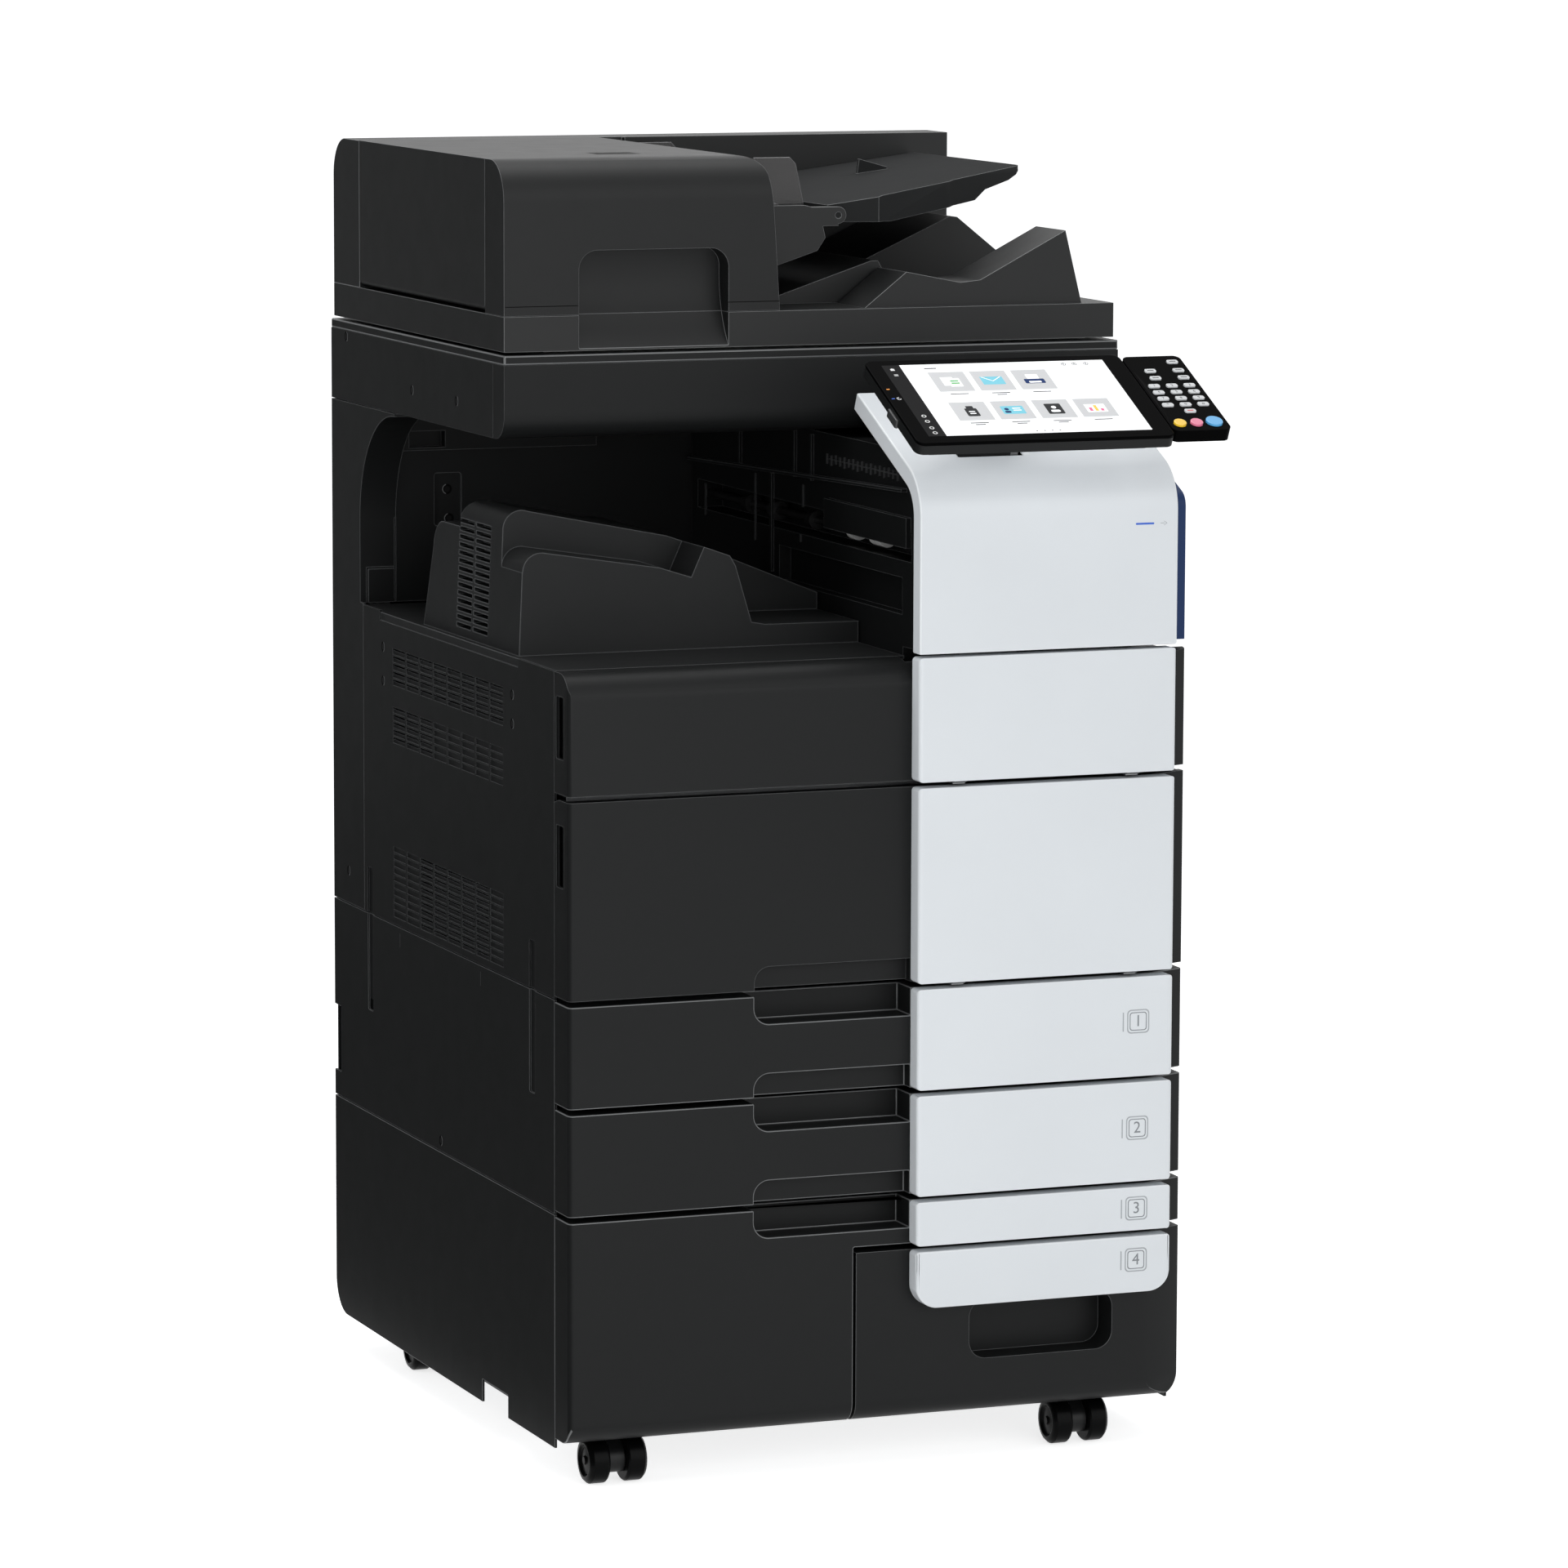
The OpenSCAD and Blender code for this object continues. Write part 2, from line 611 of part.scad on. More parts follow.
module output_tray() color(black) {
    block(cover_t + 0.5, bay_right, strip_d + 3.5, bay_back - 1, deck_z - 3, deck_z);
    // Lip over the top edge of the left cover
    block(0.8, 16, 139, pillar_y - 53, deck_z - 8 + fit, deck_z);
    for (y = [frame_y + 6, (frame_y + bay_back) / 2, bay_back - 40])
        block(in_x0 + 4, bay_right - 4, y, y + 20, deck_plate, deck_z - 3 - fit);
    hump();
}

// Exit unit in the column, with a ledge, a guide plate over the rollers and ribs, and its roller shaft
exit_x = bay_right + 2;
exit_z = deck_z + 101;
exit_y0 = 12;
exit_y1 = bay_back - 3;
roller_shaft_r = 4;
roller_r = 9;
exit_axis_x = exit_x + 12;
exit_rollers_y = [52, 123, 137, 194, 300, 400, 470];
module exit_unit() color(dark) difference() {
    union() {
        along_x(exit_x, body_w - right_gap - 14) intersection() {
            column_side(column_t, bay_back);
            rect(exit_y0, column_z0, exit_y1, bay_top - 8);
        }
        block(exit_x, body_w - right_gap - 14, frame_y + 4, exit_y1, deck_plate, column_z0 + 1);
        along_x(exit_x - 6, exit_x + 1) polygon([[exit_y0 + 30, exit_z + 50], [exit_y1 - 4, exit_z + 32],
            [exit_y1 - 4, exit_z + 35], [exit_y0 + 30, exit_z + 53]]);
        block(exit_x - 5, exit_x + 1, exit_y0 + 20, 236, exit_z - 1, exit_z + 27);
        for (y = [276, 320, 466]) block(exit_x - 3, exit_x + 1, y - 1.5, y + 1.5, exit_z + 40, bay_top - 12);
        block(exit_x - 3, exit_x + 1, 378, 382, deck_z + 44, exit_z + 38);
    }
    // Hollow towards the right
    along_x(exit_x + 34, body_w) intersection() {
        column_side(column_t + 5, bay_back);
        rect(exit_y0 + 5, column_z0 + 4, exit_y1 - 5, bay_top - 13);
    }
    // Recess round the rollers, the lower guide pocket and the shaft's bores
    block(exit_x, exit_x + 26, exit_y0 + 18, exit_y1 - 18, exit_z - 14, exit_z + 14);
    block(exit_x - 1, exit_x + 12, exit_y0 + 40, exit_y1 - 240, exit_z - 64, exit_z - 30);
    rod_y(exit_y0 + 8, exit_y1 - 8, exit_axis_x, exit_z, roller_shaft_r + pin_gap);
    block(neck_x0 - 2, neck_x1 + 2, exit_y0 - 1, neck_y1 + 6, deck_plate - 1, bay_top);
}
module exit_rollers() color("#d8dadb") {
    rod_y(exit_y0 + 9, exit_y1 - 9, exit_axis_x, exit_z, roller_shaft_r);
    for (y = exit_rollers_y) rod_y(y - 6, y + 6, exit_axis_x, exit_z, roller_r);
}

// Scanner: tub, glass frame, glasses and the moving carriage
tub_t = 3;
frame_h = 9;
glass_t = 4;
glass = [130, body_w - 49, scan_y + 52, scan_y + 352];
slit = [70, 104, scan_y + 52, scan_y + 352];
rib_z = bay_top + 30;
module scanner_side() {
    r = 24;
    rect(scan_y, bay_top + r, body_d, scan_top - frame_h);
    rect(scan_y + r, bay_top, body_d, scan_top - frame_h);
    translate([scan_y + r, bay_top + r]) circle(r);
}
module scanner_body() color(black) {
    difference() {
        along_x(0, body_w) scanner_side();
        intersection() {
            block(tub_t, body_w - tub_t, scan_y + tub_t, body_d - tub_t, bay_top + tub_t, scan_top);
            along_x(0, body_w) translate([0, tub_t]) union() {
                rect(scan_y + 24, bay_top, body_d, scan_top);
                rect(scan_y, bay_top + 24, body_d, scan_top);
                translate([scan_y + 24 + tub_t, bay_top + 24]) circle(24);
            }
        }
        block(-1, 0.8, scan_y + 31, scan_y + 32, bay_top - 1, scan_top + 1);
    }
    for (y = carriage_ribs())
        block(tub_t - eps, body_w - tub_t + eps, y, y + 12, bay_top + tub_t - eps, rib_z);
}
function carriage_ribs() = [scan_y + 60, scan_y + 330];
module glass_hole(g, grow) { rect(g[0] - grow, g[2] - grow, g[1] + grow, g[3] + grow); }
module scanner_top() color(black) difference() {
    block(0, body_w, scan_y, body_d, scan_top - frame_h, scan_top);
    for (g = [glass, slit]) {
        along_z(scan_top - glass_t - 0.2, scan_top + 1) glass_hole(g, slide_gap);
        along_z(scan_top - frame_h - 1, scan_top) glass_hole(g, -6);
    }
}
module platen_glass() color([0.75, 0.85, 0.85, 0.5]) for (g = [glass, slit])
    along_z(scan_top - glass_t - 0.2, scan_top - 0.2) glass_hole(g, 0);
carriage_l = 36;
module scan_carriage() color(dark) {
    difference() {
        block(slit[0], slit[0] + carriage_l, glass[2] - 6, glass[3] + 6,
              rib_z + slide_gap, scan_top - frame_h - 4);
        block(slit[0] + 8, slit[0] + carriage_l - 8, glass[2] + 4, glass[3] - 4, rib_z + 6, scan_top);
    }
    for (x = [slit[0] + 9, slit[0] + 21])
        rod_y(glass[2], glass[3], x + 3, scan_top - frame_h - 10, 2.5);
}

// Lid hinges on the scanner's rear edge, with their pins
lid_axis_y = body_d - 5;
lid_axis_z = scan_top + 8;
lid_pin_r = 2.5;
lid_ear_r = 4.2;
lid_back = lid_axis_y - lid_ear_r - slide_gap;
hinge_post = 30;
lid_hinge_x = [90, body_w - 135];
module lid_hinges() color(steel) for (x = lid_hinge_x) {
    block(x, x + hinge_post, lid_axis_y - 2.5, body_d, scan_top, lid_axis_z);
    rod_x(x, x + hinge_post, lid_axis_y, lid_axis_z, lid_ear_r);
    rod_x(x - 12, x + hinge_post + 12, lid_axis_y, lid_axis_z, lid_pin_r);
}
module lid_ears() for (x = lid_hinge_x, ear = [x - 12, x + hinge_post + slide_gap]) {
    rod_x(ear, ear + 12 - slide_gap, lid_axis_y, lid_axis_z, lid_ear_r);
    block(ear, ear + 12 - slide_gap, lid_back - 10, lid_axis_y, lid_axis_z - 3, lid_axis_z + lid_ear_r);
}

// Feeder base with its exit ramps and the feed entry, which rides on the lid hinges
lid_right = body_w - 5;
scoop_c = [scan_y - 75, lid_z + 68];
scoop_curve = 100;
scoop_x = [73, 220];
entry_top = lid_top + 94;
entry_x = 339;
groove_x = 290;
groove_w = 6;
module grip_scoop() intersection() {
    rod_x(scoop_x[0], scoop_x[1], scoop_c[0], scoop_c[1], scoop_curve);
    along_y(scan_y - 30, scan_y + 40) round_rect(scoop_x[0], lid_z - 40, scoop_x[1], lid_z + 92, 18);
}
doc_axis_x = entry_x + 13;
doc_axis_z = entry_top - 10;
doc_pin_r = 3;
doc_y0 = 242;
doc_y1 = wall_y - 7;
module feed_entry() difference() {
    z = lid_top + fit;
    union() {
        // Floor of the sheet path under the feed cover, and the nose between entry and exit
        along_y(cover_y0 + 4, wall_y - slide_gap) polygon([[60, z], [60, lid_top + 50], [150, lid_top + 56],
            [180, entry_top - 2], [264, entry_top], [318, entry_top], [333, entry_top - 4],
            [entry_x, entry_top - 31],
            [331, entry_top - 43], [291, entry_top - 56], [262, entry_top - 64], [262, z]]);
        // Front ear that carries the document tray's pin
        block(325, doc_axis_x, doc_y0 - 10, doc_y0 - 1.5, doc_axis_z - 10, doc_axis_z + 8);
        rod_y(doc_y0 - 10, doc_y0 - 1.5, doc_axis_x, doc_axis_z, 8);
    }
    // Hollow under the sheet path
    along_y(cover_y0 + 10, wall_y - 6) polygon([[66, lid_top - 1], [66, lid_top + 44], [146, lid_top + 50],
        [176, entry_top - 8], [258, entry_top - 6], [258, lid_top - 1]]);
    block(groove_x, groove_x + groove_w, cover_y0 + 12, wall_y - 8, entry_top - 6, entry_top + 1);
    rod_y(doc_y0 - 11, doc_y0, doc_axis_x, doc_axis_z, doc_pin_r + pin_gap);
}
module exit_ramps() {
    z = lid_top + fit;
    x = lid_right;
    along_y(256, wall_y - 8) polygon([[276, z], [395, z + 39], [402, z + 39], [424, z]]);
    along_y(scan_y + 5, 250)
        polygon([[358, z], [400, z + 33], [455, z + 22], [475, z + 24], [x - 48, z + 69], [x - 31, z]]);
    along_y(wall_y - 165, wall_y - 8) polygon([[440, z], [455, z + 27], [x - 62, z + 69], [x - 54, z + 68],
        [x - 10, z + 33], [x - 7, z]]);
}
pad = [48, body_w - 23, scan_y + 26, scan_y + 396];
pad_z0 = scan_top + 0.6;
pad_z1 = lid_z + 4;
module feeder_base() color(black) {
    difference() {
        union() {
            difference() {
                block(0, lid_right, scan_y, lid_back, lid_z, lid_top);
                block(4, lid_right - 4, scan_y + 22, lid_back - 4, lid_z - 1, lid_top - 4);
            }
            for (x = [pad[0] + 30, pad[1] - 30], y = [pad[2] + 30, pad[3] - 30])
                rod_z(pad_z1, lid_top - 3, x, y, 9);
            lid_ears();
        }
        grip_scoop();
        for (x = lid_hinge_x)
            rod_x(x - 13, x + hinge_post + 13, lid_axis_y, lid_axis_z, lid_pin_r + pin_gap);
    }
    feed_entry();
    exit_ramps();
}
module platen_pad() color("#f2f2f0") block(pad[0], pad[1], pad[2], pad[3], pad_z0, pad_z1);

// Feed housing: fixed front and rear blocks with the opening cover between them
feed_axis_x = 6;
feed_axis_z = cover_z + 6;
feed_pin_r = 2.5;
feed_roller_x = 215;
feed_roller_z = entry_top + 13;
module feed_end(z) {
    // End outline of the feed housing: the right end leans and has a rounded shoulder
    r = 20;
    polygon([[0, z], [feed_x, z], [feed_x - 6, feeder_top - 46], [feed_x - 9, feeder_top - r],
             [feed_x - 9 - r, feeder_top - r], [feed_x - 9 - r, feeder_top], [0, feeder_top]]);
    translate([feed_x - 9 - r, feeder_top - r]) circle(r);
}
module feeder_front() color(black) difference() {
    r = 38;
    union() {
        intersection() {
            along_y(scan_y, cover_y0) feed_end(front_z);
            along_x(-1, feed_x + 1) union() {
                rect(scan_y, front_z, cover_y0, feeder_top - r);
                rect(scan_y + r, front_z, cover_y0, feeder_top);
                translate([scan_y + r, feeder_top - r]) circle(r);
            }
        }
        block(4, feed_x - 4, scan_y + 4, cover_y0 - 4, lid_top, front_z + 1);
    }
    grip_scoop();
    rod_y(cover_y0 - 8, cover_y0 + 1, feed_axis_x, feed_axis_z, feed_pin_r + pin_gap);
    rod_y(cover_y0 - 8, cover_y0 + 1, feed_roller_x, feed_roller_z, roller_shaft_r + pin_gap);
}
module feeder_rear() color(black) difference() {
    r = 36;
    union() {
        along_x(0, lid_right + 4) {
            rect(cover_y1, lid_top, lid_back, feeder_top - r);
            rect(cover_y1, lid_top, lid_back - r, feeder_top);
            translate([lid_back - r, feeder_top - r]) circle(r);
        }
        block(feed_x, lid_right + 4, wall_y, cover_y1 + eps, lid_top, feeder_top);
    }
    along_x(cover_t + 8, lid_right - 4) {
        rect(cover_y1 + 14, lid_top - 1, lid_back - 4, feeder_top - r);
        rect(cover_y1 + 14, lid_top - 1, lid_back - r, feeder_top - 4);
        translate([lid_back - r, feeder_top - r]) circle(r - 4);
    }
    rod_y(cover_y1 - 1, cover_y1 + 8, feed_axis_x, feed_axis_z, feed_pin_r + pin_gap);
    rod_y(cover_y1 - 1, cover_y1 + 8, feed_roller_x, feed_roller_z, roller_shaft_r + pin_gap);
    rod_y(wall_y - 1, wall_y + 9, doc_axis_x, doc_axis_z, doc_pin_r + pin_gap);
}
module feed_cover() color(black) {
    y0 = cover_y0 + 0.7;
    y1 = cover_y1 - 0.7;
    difference() {
        along_y(y0, y1) difference() {
            feed_end(cover_z);
            // Rounded lower left edge, which turns about the hinge pin
            difference() {
                rect(-1, cover_z - 1, feed_axis_x, feed_axis_z);
                translate([feed_axis_x, feed_axis_z]) circle(feed_axis_x);
            }
        }
        along_y(y0 + 3, y1 - 3) polygon([[12, cover_z - 1], [3.5, feed_axis_z + 8], [3.5, feeder_top - 3],
            [feed_x - 34, feeder_top - 3], [feed_x - 16, feeder_top - 24], [feed_x - 12, cover_z - 1]]);
        // Sheet entry and the room for the feed entry's floor and nose
        block(50, feed_x + 1, y0 - 1, y1 + 1, cover_z - 1, entry_top + 6);
        block(feed_axis_x + 8, 60, y0 - 1, y1 + 1, cover_z - 1, cover_z + 14);
        block(feed_roller_x - 15, feed_roller_x + 15, y0 - 1, y1 + 1, entry_top, feed_roller_z + 14);
    }
    rod_y(cover_y0 - 7, cover_y1 + 7, feed_axis_x, feed_axis_z, feed_pin_r);
}
module feed_rollers() color("#55585a") {
    rod_y(cover_y0 - 7, cover_y1 + 7, feed_roller_x, feed_roller_z, roller_shaft_r);
    for (y = [cover_y0 + 150, cover_y0 + 205]) rod_y(y - 16, y + 16, feed_roller_x, feed_roller_z, 12);
}

// Document tray: a tapering deck that turns up at its pins, and its two guides
doc_l = body_w - 389;
module document_tray() color(black) {
    difference() {
        intersection() {
            along_y(doc_y0, doc_y1) translate([doc_axis_x, doc_axis_z]) rotate(doc_a)
                polygon([[-6, -6], [-6, 10], [doc_l, 10], [doc_l, 4], [doc_l - 16, -2], [doc_l - 46, -6],
                         [doc_l - 60, -14], [60, -16], [20, -10]]);
            along_z(entry_top - 60, feeder_top) polygon([[doc_axis_x - 8, doc_y0], [doc_axis_x + 45, doc_y0],
                [doc_axis_x + 52, doc_y0 + 8], [doc_axis_x + 132, doc_y0 + 36],
                [doc_axis_x + 139, doc_y0 + 44],
                [doc_axis_x + doc_l - 8, doc_y0 + 76], [doc_axis_x + doc_l, doc_y0 + 88],
                [doc_axis_x + doc_l, doc_y1], [doc_axis_x - 8, doc_y1]]);
        }
        // Hollow underside
        translate([doc_axis_x, 0, doc_axis_z]) rotate([0, -doc_a, 0])
            block(24, doc_l - 66, doc_y0 + 60, doc_y1 - 12, -20, 6);
    }
    rod_y(doc_y0 - 9, doc_y1 + 14, doc_axis_x, doc_axis_z, doc_pin_r);
    // Stop fin for long sheets
    translate([doc_axis_x, 0, doc_axis_z]) rotate([0, -doc_a, 0]) along_y(473, 477)
        polygon([[118, 9], [122, 24], [150, 12], [150, 9]]);
}
module guide(y, side) {
    // Upright fence, its foot and the tongue that runs in the groove
    along_y(y - 1.5, y + 1.5) polygon([[274, entry_top + slide_gap], [274, entry_top + 44],
        [310, entry_top + 44], [316, entry_top + 38], [324, entry_top + slide_gap]]);
    block(278, 320, min(y, y + side * 16), max(y, y + side * 16), entry_top + slide_gap, entry_top + 3.5);
    block(groove_x + slide_gap, groove_x + groove_w - slide_gap, y - 8, y + 8, entry_top - 5, entry_top + 1);
}
module front_guide() color([0.3, 0.3, 0.32, 0.7]) guide(cover_y0 + 24, 1);
module rear_guide() color([0.3, 0.3, 0.32, 0.7]) guide(wall_y - 24, -1);

// Control panel in its own plane: u to the right, v up the slope, w out of the face
module panel_plane() {
    translate([panel_left, touch_y, touch_z]) rotate([touch_a, 0, 0]) children();
}
hinge_back = 24;
bezel_t = 3;
module panel_housing() color(black) {
    panel_plane() difference() {
        union() {
            along_z(-touch_t, -bezel_t) round_rect(0, -touch_h, touch_w, 0, 8);
            along_z(-touch_t - 10, -touch_t + eps) round_rect(14, -touch_h + 16, touch_w - 14, -10, 8);
        }
        // Notch over the neck's ears
        block(neck_x0 - panel_left + 9, neck_x1 - panel_left - 9, -48, 14, -60, -touch_t + 2);
    }
    // Hinge pin between the ears, on a bracket of the housing
    rod_x(neck_x0 + 10, neck_x1 - 10, hinge_y, hinge_z, neck_pin_r);
    panel_plane() for (u = [neck_x0 - panel_left + 0.5, neck_x1 - panel_left - 11.5]) hinge_lug(u);
    intersection() {
        rod_x(neck_x0 + 25, neck_x1 - 25, hinge_y, hinge_z, 7);
        block(neck_x0, neck_x1, 0, 100, 800, 1000);
    }
    panel_plane() block(neck_x0 - panel_left + 25, neck_x1 - panel_left - 25, -34, -14, -40, -touch_t + 3);
}
module hinge_lug(u) block(u, u + 11, -34, -8, -44, -touch_t);
module panel_glass() color("#101214") panel_plane()
    along_z(-bezel_t, 0) round_rect(0, -touch_h, touch_w, 0, 8);

keypad_gap = 0.8;
keypad_x = touch_w + keypad_gap;
keypad_v = -5;
key_r = 2.2;
small_key = [11, 6];
key_h = 2;
mat_z0 = -7;
mat_z1 = -6;
skin_z = -4.5;
// Small keys as [u, v]: function keys in two columns, digits in three, and the clear key
key_u = [11.9, 29.7, 47.4];
key_rows = [-55, -66.5, -77.8, -89.2];
function key_spots() = concat(
    [[key_u[2], -12]], [for (v = [-27.5, -40.7], u = [19, key_u[2]]) [u, v]],
    [for (v = key_rows, u = key_u) [u, v]], [[key_u[1], -100.8]]);
// Coloured keys as [u, v, radius]
reset_spot = [10.8, -122, 6];
stop_spot = [27.4, -122, 6];
start_spot = [45.4, -121, 8];
module keypad_plane() { panel_plane() translate([keypad_x, keypad_v, 0]) children(); }
module key_shape(p, grow) round_rect(p[0] - small_key[0] / 2 - grow, p[1] - small_key[1] / 2 - grow,
    p[0] + small_key[0] / 2 + grow, p[1] + small_key[1] / 2 + grow, key_r);
module keypad_housing() color(black) keypad_plane() difference() {
    union() {
        along_z(-touch_t, 0) round_rect(0, -keypad_h, keypad_w, 0, 7);
        along_z(-touch_t + 1, -4) rect(-keypad_gap, -keypad_h + 20, 3, -20);
    }
    // Room for the key mat, then the key holes
    along_z(mat_z0 - key_travel - key_gap, skin_z) rect(3.5, -107, keypad_w - 3.5, -5);
    for (p = key_spots()) along_z(skin_z - 1, 1) key_shape(p, key_gap);
    for (p = [reset_spot, stop_spot, start_spot]) rod_z(-6, 1, p[0], p[1], p[2] + key_gap);
}
// One rubber mat carries the small keys
module small_keys() color("#c9cccf") keypad_plane() {
    along_z(mat_z0, mat_z1) rect(4.5, -106, keypad_w - 4.5, -6);
    for (p = key_spots()) along_z(mat_z1 - eps, key_h / 2) key_shape(p, 0);
}
module round_key(spot) keypad_plane() rod_z(-6 + key_travel + key_gap, key_h, spot[0], spot[1], spot[2]);
module reset_key() color("#e8b923") round_key(reset_spot);
module stop_key() color("#d9738f") round_key(stop_spot);
module start_key() color("#4ea3d8") round_key(start_spot);

// Outline of the fronts seen from above, moved in by inset
module front_plan(inset, depth) {
    r = 5;
    difference() {
        polygon([[inset, inset], [bend_x, inset], [body_w - inset, bend_y + inset / 2],
                 [body_w - inset, depth], [inset, depth]]);
        if (inset == 0) difference() {
            rect(-1, -1, r, r);
            translate([r, r]) circle(r);
        }
    }
}
// The fronts as one curved wall, rounded at the skirt
module front_block(inset, depth) intersection() {
    along_z(inset, deck_z + 10) front_plan(inset, depth);
    along_x(-1, body_w + 1) {
        rect(inset, skirt_r, depth + 1, deck_z + 11);
        rect(skirt_r, inset, depth + 1, deck_z + 11);
        translate([skirt_r, skirt_r]) circle(skirt_r - inset);
    }
}
// A hollow front cut from that wall: first child its outline, second child its hollow
module front_piece(depth) difference() {
    intersection() {
        front_block(0, depth);
        along_y(-1, depth + 1) children(0);
    }
    intersection() {
        front_block(front_t, depth + 2);
        along_y(-1, depth - bin_t) children(1);
    }
}
module white_panel(z0, z1, r) difference() {
    intersection() {
        along_z(z0, z1) round_rect(panel_x0, -panel_out, panel_x1, panel_r + 1, panel_r);
        along_y(-panel_out, 0) intersection() {
            round_rect(panel_x0, z0, panel_x1, z1 + 2 * r, r);
            round_rect(panel_x0, z0 - 20, panel_x1, z1, panel_r);
        }
    }
    along_y(-panel_out + front_t, 1)
        round_rect(panel_x0 + front_t, z0 + front_t, panel_x1 - front_t, z1 - front_t, max(r - front_t, 1));
}

// Handle pocket below a seam and finger scoop above one, each with its liner
module corner_pocket(x0, z0, z1, y1) along_y(-1, y1) intersection() {
    round_rect(x0, z0 - 0, panel_x0 + 60, z1 + 60, pocket_r);
    rect(x0, z0, panel_x0, z1 + 1);
}
module pocket_cut(z) corner_pocket(pocket_x, z - pocket_h, z, pocket_d);
module pocket_liner(z)
    block(pocket_x - bin_t, panel_x0 + bin_t, 1, pocket_d + bin_t, z - pocket_h - bin_t, z);
module scoop_cut(z) along_y(-1, scoop_d) intersection() {
    round_rect(pocket_x, z - 60, panel_x0 + 60, z + scoop_h, pocket_r);
    rect(pocket_x, z - 1, panel_x0, z + scoop_h);
}
module scoop_liner(z) block(pocket_x - bin_t, panel_x0 + bin_t, 1, scoop_d + bin_t, z, z + scoop_h + bin_t);

// Paper bins: a box open at the top and closed in front by the drawer front, with flanges that run on
// the rails and a raised paper plate
flange_h = 6;
module bin(x0, x1, z0, z1, flange_z) {
    y0 = strip_d + fit;
    y1 = strip_d + bin_l - bin_t;
    difference() {
        block(x0, x1, y0, y1, z0, z1);
        block(x0 + bin_t, x1 - bin_t, y0 - 1, y1 - bin_t, z0 + bin_t, z1 + 1);
        // Finger notch in the rear wall
        block((x0 + x1) / 2 - 40, (x0 + x1) / 2 + 40, y1 - bin_t - 1, y1 + 1, z1 - 30, z1 + 1);
    }
    block(x0 + 20, x1 - 20, y0 + 28, y1 - 30, z0 + bin_t - eps, z0 + bin_t + 4);
    for (x = [x0 - rail_w + slide_gap * 2, x1 - eps])
        block(x, x + rail_w - slide_gap * 2 + eps, y0, y1, flange_z, flange_z + flange_h);
}
bin_x0 = in_x0 + rail_w + 2;
bin_x1 = in_x1 - rail_w - 2;
bin_rise = 8;
bin_head = 14;

// Drawers 1 and 2: full-width front with a handle pocket and a scoop, and the bin behind it
module wide_tray(z_low, z_high) color(black) {
    z0 = z_low + half;
    z1 = z_high - half;
    difference() {
        union() {
            front_piece(strip_d) {
                rect(-1, z0, body_w + 1, z1);
                rect(-1, z0 + front_t, body_w + 1, z1 - front_t);
            }
            pocket_liner(z1);
            scoop_liner(z0);
        }
        pocket_cut(z1);
        scoop_cut(z0);
    }
    bin(bin_x0, bin_x1, z0 + bin_rise, z1 - bin_head, z0 + rail_rise);
}
module tray_1() wide_tray(tray2_top, tray1_top);
module tray_2() wide_tray(base_top, tray2_top);
module tray_1_panel() color(white) white_panel(tray2_top + half, tray1_top - half, panel_r);
module tray_2_panel() color(white) white_panel(base_top + half, tray2_top - half, panel_r);

// Drawer 3: an L-shaped front beside and above drawer 4
module tray_3_outline(inset) {
    rect(-1, -1 + inset, tray4_x - half / 2 - inset, base_top - half - inset);
    rect(0, tray4_top + half + inset, body_w + 1, base_top - half - inset);
}
module tray_3() color(black) {
    z1 = base_top - half;
    difference() {
        union() {
            front_piece(strip_d) {
                tray_3_outline(0);
                tray_3_outline(front_t);
            }
            pocket_liner(z1);
        }
        pocket_cut(z1);
    }
    bin(bin_x0, divider_x - rail_w - 1, bin_z, base_top - 20, bin_z + rail_rise);
}
module tray_3_panel() color(white) white_panel(tray4_top + half, base_top - half, panel_r);

// Drawer 4: lower right front with its own handle pocket
tray4_pocket = [panel_x1 - 196.5, panel_x1 - 51.5, 52, 108];
module tray_4_outline(inset) difference() {
    rect(tray4_x + half / 2 + inset, -1, body_w + 1, tray4_top - half - inset);
    // Rounded lower right corner
    difference() {
        rect(body_w - skirt_r, -2, body_w + 2, skirt_r);
        translate([body_w - skirt_r, skirt_r]) circle(skirt_r - inset);
    }
}
module tray_4() color(black) {
    difference() {
        union() {
            front_piece(strip_d) {
                tray_4_outline(0);
                tray_4_outline(front_t);
            }
            block(tray4_pocket[0] - bin_t, tray4_pocket[1] + bin_t, 1, pocket_d + bin_t,
                  tray4_pocket[2] - bin_t, tray4_pocket[3] + bin_t);
        }
        along_y(-1, pocket_d)
            round_rect(tray4_pocket[0], tray4_pocket[2], tray4_pocket[1], tray4_pocket[3], 17);
    }
    bin(divider_x + plate_t + rail_w + 1, bin_x1, bin_z, tray4_top - 16, bin_z + rail_rise);
}
module tray_4_panel() color(white) white_panel(tray4_pocket[3] - 1, tray4_top - half, 22);

